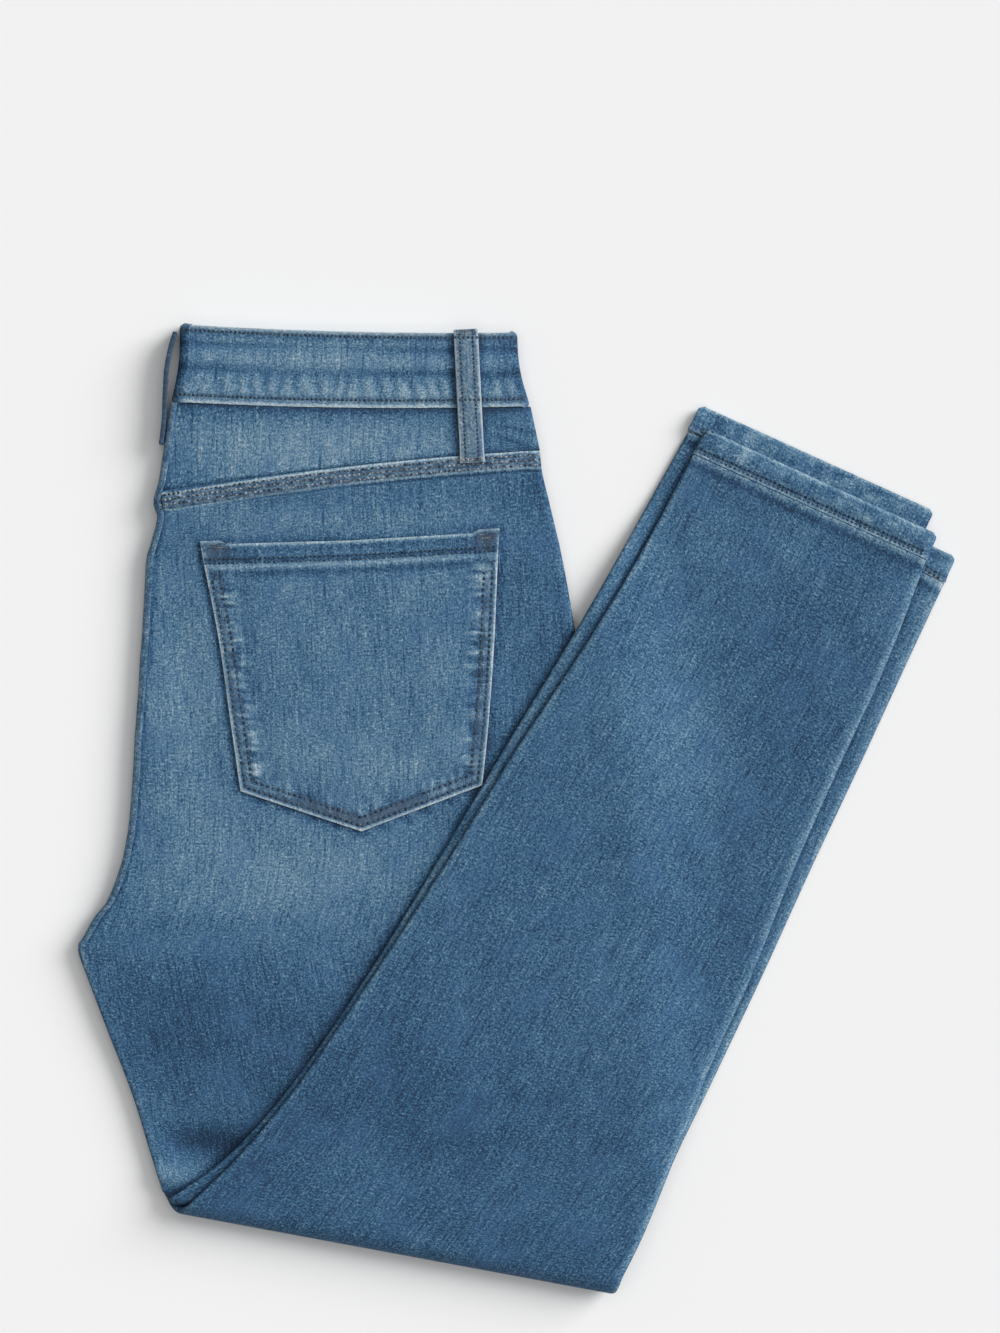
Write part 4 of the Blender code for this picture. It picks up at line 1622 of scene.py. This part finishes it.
    def tone(self, across: float, down: float, point: Vector, face: float) -> Tone:
        """Paint of the band: pale worn edges, painted shade in its soft troughs, painted light and shade over the
        puckers at its lower stitching, and painted shade at its ends and beside the belt loop.

        Args:
            across: 0 to 1 over the quarter.
            down: 0 at the top edge, 1 at the lower one.
            point: The place in millimetres.
            face: How much of the outer face it is.

        Returns:
            The tone.
        """
        first, second = self.bands(across, down)
        # Painted shade in the two soft troughs, and painted light and shade over the puckers.
        fade = 0.66 - 0.36 * first - 0.36 * second + 0.30 * self.puckers(across, down)
        # A painted highlight between the troughs, a paler line over the lower puckers, and darker lines by both rows
        # of stitching.
        fade += 0.08 * bell(down, 0.8, 0.08) + 0.07 * bell(down, 0.39, 0.06)
        fade -= 0.30 * bell(down, 0.09, 0.04) + 0.20 * bell(down, 0.885, 0.025)
        fade += 0.50 * smooth((down - 0.95) / 0.03) + 0.55 * smooth((0.035 - down) / 0.02)
        fade -= 0.16 * smooth((across - 0.91) / 0.04) * (1 - 0.8 * smooth((down - 0.9) / 0.06))
        # Painted shade at both ends, where the band turns down.
        fade -= 0.22 * bell(across, 0.0, 0.035) + 0.18 * bell(across, 1.0, 0.02)
        # Painted shade beside the belt loop.
        away = LOOP.outside(point.x, point.y)
        fade -= 0.46 * bell(max(away, 0.0), 0.0, 3.6)
        seam = max(bell(down, 0.9, 0.05), bell(down, 0.055, 0.04))
        uneven = 0.07 * cloud(point, 18.0) + 0.05 * cloud(point, 6.0)
        return Tone((fade + uneven) * (1.0 if face > 0.9 else 0.8), 0.3 * seam, 0.5 * seam)

    def build(self) -> bpy.types.Object:
        """Build the band.

        Returns:
            The band.
        """
        path, width = self.path()
        points, tones = [], []
        for index in range(self.rows + 1):
            down = index / self.rows
            row, shades = [], []
            for across, height, face in path:
                share = across / width
                rise = self.bulge(share, down) * face
                point = self.spot(share, down, height + rise)
                row.append(point)
                shades.append(self.tone(share, down, point, face))
            points.append(row)
            tones.append(shades)
        piece = ClothGrid("waistband_cloth", self.wall, points, tones, ring=True).build()
        dress(piece, self.wardrobe.trim, "denim_faded", "waistband")
        return piece


@dataclass
class SeatSeam:
    """The felled seat seam, wrapped round the left edge down to the crotch."""

    wardrobe: Wardrobe
    wall: float = 1.0
    bump: float = 2.6
    bump_y: float = 160.0
    taper: float = 0.9
    taper_y: float = -60.0

    def line(self, station: Station) -> list[Knot]:
        """Section line round the edge of the pile.

        Args:
            station: The section.

        Returns:
            The knots.
        """
        half = self.wall / 2
        top = PILE.top_depth - PILE.wall / 2 - 0.3 - half
        low = PILE.floor_depth - 0.9
        bend = [(3.4, top + 0.15), (2.9, top), (2.3, top), (1.6, top + 0.15), (0.9, top + 0.5), (0.4, top + 1.1),
                (0.1, top + 2.0), (0.0, top + 3.0), (0.0, (PILE.top_depth + PILE.floor_depth) / 2),
                (0.0, low - 1.4), (0.3, low - 0.5)]
        return [Knot(0.0, half + inset, depth, rim=1.0 if inset < 2.0 else 0.4) for inset, depth in bend]

    def build(self) -> bpy.types.Object:
        """Build the strip.

        Returns:
            The strip.
        """
        wrapped = len([row for row in SEAT_ROWS if row.strip]) - 1
        seat = PATH.seat()[:wrapped * PATH.seat_steps - PATH.seat_steps // 4 + 1]
        stations = PATH.yoke(12)[:-1] + PATH.fell() + seat
        points, tones = [], []
        for index, station in enumerate(stations):
            knots = self.line(station)
            row = [PILE.place(station, knot) for knot in knots]
            wave = 0.25 * noise.noise(Vector((index * 0.35, 2.0, 9.0)))
            wave -= self.bump * bell(row[0].y, self.bump_y, 6.5)
            wave += self.taper * smooth((self.taper_y - row[0].y) / 12.0)
            points.append([Vector((point.x + wave, point.y, point.z)) for point in row])
            pale = 0.50 + 0.16 * noise.noise(Vector((index * 0.7, 4.0, 1.0))) - 0.2 * bell(row[0].y, self.bump_y, 6.0)
            tones.append([Tone(pale + 0.10 * knot.rim, 0.7, 0.3) for knot in knots])
        piece = ClothGrid("seat_seam_cloth", self.wall, points, tones, turned=True).build()
        dress(piece, self.wardrobe.trim, "denim_trim", "seat_seam")
        return piece


@dataclass
class BackPocket:
    """The right back pocket: a patch with its turned hem, sewn flat along its sides."""

    wardrobe: Wardrobe
    wall: float = 1.2
    rows: int = 100
    columns: int = 100
    hem: float = 11.5

    def bulge(self, x: float, y: float, down: float) -> float:
        """Relief of the pocket: a raised hem, sewn edges pressed down, a soft middle.

        Args:
            x: Place across.
            y: Place up the picture.
            down: Distance under the hem's top edge.

        Returns:
            The rise in millimetres.
        """
        inner = POCKET.inside(x, y)
        hem = 0.55 * smooth((self.hem - down) / 1.6) * smooth(down / 1.2 + 0.4)
        ripple = 0.3 * math.sin(x * 1.15 + 2.0 * noise.noise(Vector((x / 9.0, 0.0, 4.0)))) * bell(down, 6.0, 4.0)
        roll = 0.45 * bell(down, self.hem + 3.2, 2.2) - 0.35 * bell(down, self.hem + 6.6, 2.4)
        rows = -0.45 * bell(down, self.hem - 1.2, 1.1)
        sewn = -0.35 * bell(inner, 2.9, 0.9) - 0.35 * bell(inner, 7.0, 1.1)
        pucker = 0.66 * self.pucker(x, y) * bell(inner, 8.6, 4.8)
        middle = 0.6 * smooth((inner - 7.0) / 20.0)
        below = smooth((down - self.hem) / 6.0)
        worn = smooth(inner / 6.0)
        return hem + ripple * worn + roll * worn + rows + (sewn + pucker) * below + middle

    @staticmethod
    def pucker(x: float, y: float) -> float:
        """Short puckers square to the nearest seam, from -1 to 1.

        Args:
            x: Place across.
            y: Place up the picture.

        Returns:
            The rise of the pucker, of height 1.
        """
        left, right = POCKET.edges(y)
        beside = min(x - left, right - x)
        low = smooth((beside - POCKET.inside(x, y) + 1.0) / 3.0)
        across = noise.noise(Vector((x / 13.0, y / 2.5, 2.0)))
        upright = noise.noise(Vector((x / 2.7, y / 13.0, 6.0)))
        return max(-1.0, min(1.0, 2.6 * mix(across, 0.35 * upright, low)))

    def build(self) -> bpy.types.Object:
        """Build the pocket.

        Returns:
            The pocket.
        """
        points, tones = [], []
        for index in range(self.rows + 1):
            place = 4.0 * index / self.rows
            row = curve(POCKET_ROWS, place)
            line, shades = [], []
            for column in range(self.columns + 1):
                share = column / self.columns
                x = mix(row.left_x, row.right_x, share)
                y = mix(row.left_y, row.right_y, share) + row.bow * (1 - abs(2 * share - 1))
                top = POCKET.top(share)
                y -= POCKET.dip(x) * smooth((self.hem - top + y) / self.hem)
                down = top - y
                base = PILE.low_height(x, y, PILE.top_depth - PILE.wall / 2) + 0.3 + self.wall / 2
                point = Vector((x, y, base + self.bulge(x, y, down)))
                line.append(point)
                shades.append(self.tone(point, down))
            points.append(line)
            tones.append(shades)
        piece = ClothGrid("pocket_cloth", self.wall, points, tones, turned=True).build()
        dress(piece, self.wardrobe.denim, "denim_faded", "pocket_right")
        return piece

    def tone(self, point: Vector, down: float) -> Tone:
        """Paint of the pocket: pale worn thin edges, stained dark corners, painted shade under its top edge, a painted
        shadow line under its hem, and painted light and shade over its puckers.

        Args:
            point: The place in millimetres.
            down: Distance under the hem's top edge.

        Returns:
            The tone.
        """
        x, y = point.x, point.y
        inner = POCKET.inside(x, y)
        below, worn = smooth((down - self.hem) / 5.0), smooth(inner / 5.0)
        fade = 0.51 + 0.90 * bell(max(inner, 0.0), 0.0, 1.2) * smooth((down - 1.0) / 4.0)
        hung = down - POCKET.dip(x)
        # A pale worn top edge with painted shade just under it.
        fade += 0.58 * bell(hung, 0.4, 1.2) - (0.16 * bell(hung, 3.2, 2.2) + 0.04 * bell(down, 7.0, 4.0)) * worn
        fade += (0.08 * bell(inner, 4.8, 1.4) - 0.20 * bell(inner, 2.5, 1.0) - 0.18 * bell(inner, 6.9, 1.1)) * below
        # A pale roll under the hem and a painted shadow line below it.
        fade += (0.34 * bell(down, self.hem + 2.4, 1.3) - 0.26 * bell(down, self.hem + 6.0, 2.2)) * worn
        fade -= 0.30 * bell(down, self.hem - 1.2, 1.6)
        # Painted light and shade over the puckers beside the sewn sides.
        fade += 0.60 * self.pucker(x, y) * bell(inner, 8.8, 5.0) * below * (inner > 0)
        fade += 0.05 * bell(inner, 10.5, 3.0) * below
        fade += 0.14 * noise.noise(Vector((x / 3.0, 0.0, 6.0))) * (1 - below) * worn
        left_corner = bell(x, -158.5, 6.5) * bell(down, 5.0, 5.5)
        right_corner = bell(x, -16.0, 6.5) * bell(down, 5.0, 5.5)
        fade -= 0.30 * left_corner + 0.34 * right_corner
        bottom = bell(inner, 4.8, 2.9) * smooth((12.0 - y) / 14.0)
        tip = bell(x, POCKET.tip[0], 7.0) * smooth((4.0 - y) / 8.0)
        fade += 0.07 * smooth((inner - 10.0) / 22.0) + 0.09 * bell(y, 22.0, 20.0) * smooth(inner / 10.0)
        fade += 0.30 * tip * (0.5 + noise.noise(Vector((x / 2.2, y / 2.2, 5.0))))
        fade += 0.06 * cloud(point, 26.0) + 0.05 * cloud(point, 8.0) - 0.38 * bottom
        seam = max(bell(inner, 5.0, 4.4) * below, 0.8 * bell(down, self.hem - 0.5, 2.4))
        stain = max(0.45 * bell(inner, 4.6, 3.0) * below, 1.0 * bottom, 0.8 * left_corner, 0.8 * right_corner)
        return Tone(fade, 0.9 * seam, stain)


@dataclass
class Hems:
    """The hems: the top leg's flattened tube, and the front and back of the under leg's."""

    wardrobe: Wardrobe
    depth: float = 14.8
    rows: int = 26
    wall: float = 1.5
    front_slip: tuple[float, float] = (0.6, 2.4)
    front_ahead: float = 10.2

    def distances(self, start: float) -> list[float]:
        """Places of the hem's rows past the leg."""
        return [start + 0.3 + (self.depth - 0.3) * index / self.rows for index in range(self.rows + 1)]

    def bulge(self, along: float, past: float) -> float:
        """Relief of a hem: rolled edge, sewn rows, and a puckered ridge under them.

        Args:
            along: Distance across the leg.
            past: 0 at the leg, 1 at the free edge.

        Returns:
            The rise in millimetres.
        """
        ripple = 0.32 * noise.noise(Vector((along / 5.0, past * 1.4, 4.0))) * (1 - abs(past - 0.35))
        joint = 0.20 * bell(past, 0.50, 0.14)
        return joint + ripple + 0.45 * bell(past, 0.64, 0.2) - 0.8 * smooth((past - 0.88) / 0.12)

    def tone(self, point: Vector, past: float, along: float) -> Tone:
        """Paint of a hem: pale at its free edge, blotched, with a puckered ridge under its stitches.

        Args:
            point: The place in millimetres.
            past: 0 at the leg, 1 at the free edge.
            along: Distance across the leg.

        Returns:
            The tone.
        """
        fade = 0.50 + 0.30 * smooth((past - 0.86) / 0.10)
        fade += 0.26 * bell(past, 0.0, 0.12) - 0.27 * bell(past, 0.215, 0.08) - 0.10 * bell(past, 0.80, 0.07)
        blotch = noise.noise(Vector((along / 10.0, past * 1.6, 8.0)))
        fade += 0.56 * blotch * smooth((past - 0.3) / 0.2) * (1 - 0.6 * smooth((past - 0.80) / 0.12))
        fade += 0.22 * noise.noise(Vector((along / 2.2, past * 3.0, 3.0))) * bell(past, 0.10, 0.12)
        return Tone(fade, 0.35 + 0.5 * bell(past, 0.16, 0.15), 0.45 * bell(past, 0.12, 0.10))

    @staticmethod
    def flare(knot: Knot, past: float) -> float:
        """Shift outwards near the ends: a bulge beside the stitches and a round corner.

        Args:
            knot: The point.
            past: 0 at the leg, 1 at the free edge.

        Returns:
            Shift along the row.
        """
        out = 0.6 * bell(past, 0.0, 0.16) - 2.4 * smooth((past - 0.80) / 0.20) ** 2
        left, right = 1 - smooth(knot.share * 12.0), 1 - smooth((1 - knot.share) * 12.0)
        return out * (right - left)

    def grid(self, name: str, stations: Sequence[Station], knots_of: Callable[[Station], list[Knot]],
             ring: bool, turned: bool, face: Callable[[Knot], float]) -> ClothGrid:
        """Grid of one hem.

        Args:
            name: The piece's name.
            stations: Its sections.
            knots_of: Its section line.
            ring: Whether the line is closed.
            turned: Whether the faces are turned over.
            face: How much a knot takes of the relief, below zero where the hem faces down.

        Returns:
            The grid.
        """
        points, tones = [], []
        for index, station in enumerate(stations):
            past = index / (len(stations) - 1)
            knots = knots_of(station)
            line = []
            for knot in knots:
                along = knot.share * 140.0 + knot.offset
                raised = knot._replace(depth=knot.depth + face(knot) * self.bulge(along, past),
                                       offset=knot.offset + self.flare(knot, past))
                line.append(PILE.place(station, raised))
            points.append(line)
            tones.append([self.tone(point, past, knot.share * 140.0 + knot.offset)
                          for point, knot in zip(line, knots)])
        return ClothGrid(name, self.wall, points, tones, ring=ring, turned=turned)

    def tube(self, station: Station) -> list[Knot]:
        """Closed line of the flattened tube.

        Args:
            station: The section.

        Returns:
            The knots.
        """
        near, far = 6.8, 9.4
        half, middle, across = (far - near) / 2, (near + far) / 2, 90
        edge = 0.8
        arc = [(edge + 1.3 * (1 - math.sin(math.pi * k / 10)), middle + half * math.cos(math.pi * k / 10))
               for k in range(1, 10)]
        low = [Knot(i / across, 4.0 * (1 - 2 * i / across), near) for i in range(0, across + 1)]
        right = [Knot(1.0, -inset, depth, rim=1.0) for inset, depth in sorted(arc, key=lambda p: p[1])]
        high = [Knot(i / across, 4.0 * (1 - 2 * i / across), far) for i in range(across, -1, -1)]
        left = [Knot(0.0, inset, depth, rim=1.0) for inset, depth in sorted(arc, key=lambda p: -p[1])]
        return low + right + high + left + [low[0]]

    def front(self, station: Station) -> list[Knot]:
        """Line of the under leg's front hem, level but for its left end over the back's edge.

        Args:
            station: The section.

        Returns:
            The knots.
        """
        across, start, end = 90, -7.8, -7.0
        knots = []
        for index in range(across + 1):
            share = index / across
            over = 1 - smooth((share * 134.0 - 0.5) / 9.0)
            knots.append(Knot(share, mix(start, end, share), 4.6 + 1.6 * over))
        return knots

    def build(self) -> list[bpy.types.Object]:
        """Build the three hems.

        Returns:
            The hems, the top one first.
        """
        beside, ahead = self.distances(0.0), self.distances(self.front_ahead)
        top = self.grid("hem_left_cloth", PATH.past_leg(beside, PATH.top_slip), self.tube, True, False,
                        lambda knot: 1.0 if knot.depth > 9.0 else 0.0).build()
        under_line = PanelLine(PILE.top_depth + 0.1, 1, wall=1.6, covers=True, edge_round=2.6, tuck=False)
        under = self.grid("hem_right_back_cloth", PATH.past_leg(beside, PATH.under_slip), under_line.line,
                          False, True, lambda knot: 0.0).build()
        front = self.grid("hem_right_front_cloth", PATH.past_leg(ahead, self.front_slip), self.front,
                          False, False, lambda knot: 0.6).build()
        for piece, node in ((top, "hem_left"), (under, "hem_right_back"), (front, "hem_right_front")):
            dress(piece, self.wardrobe.trim, "denim_trim", node)
        return [top, under, front]


@dataclass
class BeltLoops:
    """The loop over the right back and the one on the centre back fold."""

    wardrobe: Wardrobe
    wall: float = 1.4
    side_wall: float = 2.2
    steps: int = 80
    columns: int = 20
    centre: tuple = ((-179.7, 249.4), (-182.0, 242.0), (-184.2, 231.0), (-185.1, 218.0), (-185.6, 204.0),
                     (-187.1, 191.0))
    lean: float = 0.08
    clearance: float = 0.75
    band_height: float = 11.4
    worn: tuple[float, float] = (0.78, 0.72)
    shaded: tuple[float, float] = (0.16, -0.06)

    def strap(self, name: str, line: Sequence[Vector], across: Vector, wall: float, tone: float,
              rim: float) -> ClothGrid:
        """Grid of a strap along a line of places.

        Args:
            name: The piece's name.
            line: Its middle line, in millimetres.
            across: Its half width.
            wall: Its thickness.
            tone: How pale it is: worn pale on the back loop, painted dark as shade on the centre loop.
            rim: How much paler its edges are.

        Returns:
            The grid.
        """
        points, tones = [], []
        for index, place in enumerate(line):
            before, after = line[max(index - 1, 0)], line[min(index + 1, len(line) - 1)]
            out = across.cross(after - before).normalized()
            out = out if out.z >= 0 or abs(out.z) < 0.3 else -out
            share = index / (len(line) - 1)
            flare = 1.0 + 0.05 * smooth((share - 0.9) / 0.1)
            row, shades = [], []
            for column in range(self.columns + 1):
                side = 2 * column / self.columns - 1
                sewn = bell(abs(side), 0.52, 0.12)
                rise = 0.30 - 0.5 * abs(side) ** 6 - 0.32 * sewn
                rise += 0.16 * noise.noise(Vector((side * 2.0, share * 22.0, 6.0)))
                row.append(place + across * side * flare + out * rise)
                ends = bell(share, 0.0, 0.03) + bell(share, 1.0, 0.03)
                edge = rim * smooth((abs(side) - 0.78) / 0.1)
                fade = tone + edge - 0.30 * sewn + 0.16 * noise.noise(Vector((side, share * 16.0, 1.0)))
                fade += 0.2 * bell(share, 1.0, 0.015) - 0.25 * bell(share, 0.93, 0.012)
                shades.append(Tone(fade, 0.5 * sewn + 0.3 * ends, 0.6))
            points.append(row)
            tones.append(shades)
        return ClothGrid(name, wall, points, tones)

    def build(self) -> list[bpy.types.Object]:
        """Build both loops.

        Returns:
            The loop on the back and the one on the fold.
        """
        start, end, half = Vector(LOOP.start), Vector(LOOP.end), LOOP.width / 2
        line = []
        for step in range(self.steps + 1):
            share = step / self.steps
            place = start.lerp(end, share)
            seam_top = PILE.low_height(place.x, place.y, PILE.top_depth - PILE.wall / 2 - PATH.fell_raise)
            height = mix(seam_top, self.band_height, 1 - smooth((share - 0.52) / 0.2)) + self.clearance
            line.append(Vector((place.x, place.y, height + 0.3 + 0.7 * math.sin(math.pi * share))))
        back = self.strap("belt_loop_back_cloth", line, LOOP.across().to_3d() * half, self.wall, *self.worn).build()
        lean = Vector((math.sin(self.lean), 0.0, math.cos(self.lean)))
        rows = [Row(x, y, 0.0, 0.0) for x, y in self.centre]
        edge_line = [curve(rows, 5 * step / 60) for step in range(61)]
        height = half * lean.z + self.clearance
        path = [Vector((row.left_x, row.left_y, height)) for row in edge_line]
        centre = self.strap("belt_loop_centre_cloth", path, lean * half, self.side_wall, *self.shaded).build()
        for piece, node in ((back, "belt_loop_back"), (centre, "belt_loop_centre")):
            dress(piece, self.wardrobe.trim, "denim_trim", node)
        return [back, centre]


class Seam(NamedTuple):
    """A row of stitches along places on the table, on top of what lies there."""

    places: Sequence[tuple[float, float]]
    pitch: float
    width: float


@dataclass
class Stitching:
    """Every row of stitches that shows, laid on the cloth under it."""

    wardrobe: Wardrobe
    cloth: Sequence[bpy.types.Object]
    length_share: float = 0.72

    def surfaces(self) -> list[BVHTree]:
        """Trees of the finished cloth's faces.

        Returns:
            One tree for each piece.
        """
        graph = bpy.context.evaluated_depsgraph_get()
        trees = []
        for piece in self.cloth:
            bm = bmesh.new()
            bm.from_object(piece, graph)
            trees.append(BVHTree.FromBMesh(bm))
            bm.free()
        return trees

    @staticmethod
    def walk(places: Sequence[tuple[float, float]], pitch: float) -> list[tuple[Vector, Vector]]:
        """Evenly spaced places along a line, with its direction.

        Args:
            places: The line's corners.
            pitch: From one place to the next.

        Returns:
            Places and directions.
        """
        spots = []
        left = pitch / 2
        for start, end in zip(places, places[1:]):
            run = Vector(end) - Vector(start)
            length, direction = run.length, run.normalized()
            while left < length:
                spots.append((Vector(start) + direction * left, direction))
                left += pitch
            left -= length
        return spots

    def sew(self, name: str, seams: Sequence[Seam], material: bpy.types.Material) -> bpy.types.Object:
        """One piece with the stitches of several rows.

        Args:
            name: The piece's name.
            seams: Its rows.
            material: The thread.

        Returns:
            The piece.
        """
        bm = bmesh.new()
        trees = self.surfaces()
        for seam in seams:
            for index, (place, direction) in enumerate(self.walk(seam.places, seam.pitch)):
                start = to_model(Vector((place.x, place.y, 60.0)))
                hits = [hit for hit in (tree.ray_cast(start, Vector((0, 0, -1))) for tree in trees) if hit[0]]
                if not hits:
                    continue
                spot, normal = max(hits, key=lambda hit: hit[0].z)[:2]
                turn = 0.10 * math.sin(index * 2.4)
                ahead = Vector((direction.x, direction.y, 0.0))
                ahead = (ahead - normal * ahead.dot(normal)).normalized()
                side = normal.cross(ahead).normalized()
                ahead = (ahead + side * turn).normalized()
                side = normal.cross(ahead).normalized()
                basis = Matrix((ahead, side, normal)).transposed().to_4x4()
                basis.translation = spot + normal * 0.05 * MM
                size = (seam.pitch * self.length_share / 2, seam.width / 2, 0.30)
                scale = Matrix.Diagonal((*(value * MM for value in size), 1.0))
                bmesh.ops.create_uvsphere(bm, u_segments=6, v_segments=4, radius=1.0, matrix=basis @ scale)
        mesh = bpy.data.meshes.new(name)
        bm.to_mesh(mesh)
        bm.free()
        mesh.shade_smooth()
        piece = bpy.data.objects.new(name, mesh)
        bpy.context.scene.collection.objects.link(piece)
        return dress(piece, material, "denim_trim")

    def band_rows(self) -> list[Seam]:
        """Rows along the waistband's top and lower edge."""
        edges = [Waistband(self.wardrobe).edges(mix(0.008, 0.985, step / 24)) for step in range(25)]
        return [Seam([tuple(top.lerp(low, down)) for top, low in edges], 2.3, 1.6) for down in (0.065, 0.90)]

    @staticmethod
    def fell_rows() -> list[Seam]:
        """Three rows along the felled yoke seam."""
        rows = [shifted(YOKE_LOW, FELL_DOWN, distance) for distance in (2.4, 4.9, 7.6)]
        return [Seam([tuple(row_point(row, step / 20)) for step in range(21)], 2.5, 1.35) for row in rows]

    @staticmethod
    def pocket_rows() -> list[Seam]:
        """Double rows along the pocket's hem, sides and point.

        Returns:
            The rows.
        """
        shares = [step / 12 for step in range(13)]
        seams = [Seam([(mix(-164.6, -10.6, share), POCKET.top(share) - down) for share in shares], 2.4, 1.25)
                 for down in (9.4, 11.6)]
        rows = [curve(POCKET_ROWS, step / 4) for step in range(5, 17)]
        for inset in (2.6, 6.8):
            left = [(row.left_x + inset, row.left_y) for row in rows]
            right = [(row.right_x - inset, row.right_y) for row in rows]
            tip = (POCKET.tip[0], POCKET.tip[1] + inset * 1.06)
            left[-1] = (left[-1][0], left[-1][1] + inset * 0.75)
            right[-1] = (right[-1][0], right[-1][1] + inset * 0.75)
            seams.append(Seam(left + [tip] + right[::-1], 3.0, 1.8))
        return seams

    @staticmethod
    def hem_rows() -> list[Seam]:
        """Double rows along the hems.

        Returns:
            The rows.
        """
        end = LEG_ROWS[-1]
        up = up_leg(end)
        seams = []
        for past in (2.2, 4.2):
            for slip, ahead, ends in ((PATH.top_slip, 0.0, (0.012, 0.988)),
                                      (Hems.front_slip, Hems.front_ahead, (-0.015, 0.045)),
                                      (PATH.under_slip, 0.0, (1.008, 1.09))):
                places = [tuple(row_point(end, share) + up * (past + ahead + mix(*slip, share))) for share in ends]
                seams.append(Seam(places, 2.5, 1.5))
        return seams

    @staticmethod
    def loop_rows() -> list[Seam]:
        """Double rows along the belt loop.

        Returns:
            The rows.
        """
        start, end, side = Vector(LOOP.start), Vector(LOOP.end), LOOP.across()
        return [Seam([tuple(start.lerp(end, share) + side * shift) for share in (0.02, 0.97)], 2.2, 1.35)
                for shift in (-3.3, 3.3)]

    @staticmethod
    def tack_rows() -> list[Seam]:
        """Bartacks of the belt loop and the pocket's corners.

        Returns:
            The rows.
        """
        start, end, side = Vector(LOOP.start), Vector(LOOP.end), LOOP.across()
        seams = []
        for share in (0.012, 0.035, 0.965, 0.985):
            middle = start.lerp(end, share)
            seams.append(Seam([tuple(middle - side * 5.2), tuple(middle + side * 5.2)], 1.0, 0.9))
        for drop in (1.6, 3.6):
            seams.append(Seam([(-163.6, 139.6 - drop), (-150.5, 140.2 - drop)], 0.95, 0.8))
            seams.append(Seam([(-21.0, 144.8 - drop), (-11.0, 145.4 - drop)], 0.95, 0.8))
        return seams

    def build(self) -> list[bpy.types.Object]:
        """Sew every row.

        Returns:
            The pieces of stitching.
        """
        grey, pale, tack = self.wardrobe.thread, self.wardrobe.pale, self.wardrobe.tack
        return [
            self.sew("stitches_waistband", self.band_rows(), grey),
            self.sew("stitches_yoke", self.fell_rows(), pale),
            self.sew("stitches_pocket", self.pocket_rows(), grey),
            self.sew("stitches_hems", self.hem_rows(), grey),
            self.sew("stitches_loop", self.loop_rows(), grey),
            self.sew("stitches_tacks", self.tack_rows(), tack),
        ]


# Studio


@dataclass(frozen=True)
class Lamp:
    """A broad, far light."""

    name: str
    towards: tuple[float, float, float]
    strength: float
    spread: float

    def build(self) -> None:
        """Make the light, shining from its direction."""
        data = bpy.data.lights.new(self.name, "SUN")
        data.energy = self.strength
        data.angle = math.radians(self.spread)
        lamp = bpy.data.objects.new(self.name, data)
        lamp.rotation_mode = "QUATERNION"
        lamp.rotation_quaternion = Vector(self.towards).to_track_quat("Z", "Y")
        bpy.context.scene.collection.objects.link(lamp)


@dataclass(frozen=True)
class Studio:
    """Pale surface, soft light from the upper right and a camera straight above."""

    centre: tuple[float, float] = (-9.2, 74.2)
    long_side: float = 701.6
    distance: float = 2.4
    sensor: float = 36.0
    world: float = 0.17
    lamps: tuple[Lamp, ...] = (Lamp("key", (1.22, 0.58, 0.80), 3.24, 38.0),
                               Lamp("overhead", (0.1, 0.05, 1.0), 1.06, 75.0))

    def build(self) -> None:
        """Make the floor, the lights and the camera."""
        scene = bpy.context.scene
        middle = to_model(Vector((*self.centre, 0.0)))
        bm = bmesh.new()
        bmesh.ops.create_grid(bm, x_segments=2, y_segments=2, size=6.0)
        mesh = bpy.data.meshes.new("floor")
        bm.to_mesh(mesh)
        bm.free()
        mesh.transform(Matrix.Translation((0.0, 0.0, -0.0002)))
        mesh.materials.append(FloorFinish().make())
        floor = bpy.data.objects.new("floor", mesh)
        scene.collection.objects.link(floor)
        world = bpy.data.worlds.new("studio")
        world.use_nodes = True
        back = world.node_tree.nodes["Background"]
        back.inputs["Color"].default_value = (1.0, 1.0, 1.0, 1.0)
        back.inputs["Strength"].default_value = self.world
        scene.world = world
        for lamp in self.lamps:
            lamp.build()
        camera_data = bpy.data.cameras.new("camera")
        camera_data.sensor_width = self.sensor
        camera_data.lens = self.sensor * self.distance / (self.long_side * MM)
        camera = bpy.data.objects.new("camera", camera_data)
        camera.location = middle + Vector((0.0, 0.0, self.distance))
        scene.collection.objects.link(camera)
        scene.camera = camera
        scene.view_settings.view_transform = "Standard"


def main() -> None:
    """Build every sub-assembly in order and report each piece."""
    logging.basicConfig(level=logging.INFO, format="%(message)s")
    wardrobe = Wardrobe()
    Studio().build()
    pieces = BackPanels(wardrobe).build()
    pieces += Yokes(wardrobe).build()
    pieces += FrontPanels(wardrobe).build()
    pieces.append(Waistband(wardrobe).build())
    pieces.append(SeatSeam(wardrobe).build())
    pieces.append(BackPocket(wardrobe).build())
    pieces += Hems(wardrobe).build()
    pieces += BeltLoops(wardrobe).build()
    bpy.context.view_layer.update()
    pieces += Stitching(wardrobe, list(pieces)).build()
    for piece in pieces:
        LOG.info("%s: %d vertices", piece.name, len(piece.data.vertices))


if __name__ == "__main__":
    main()
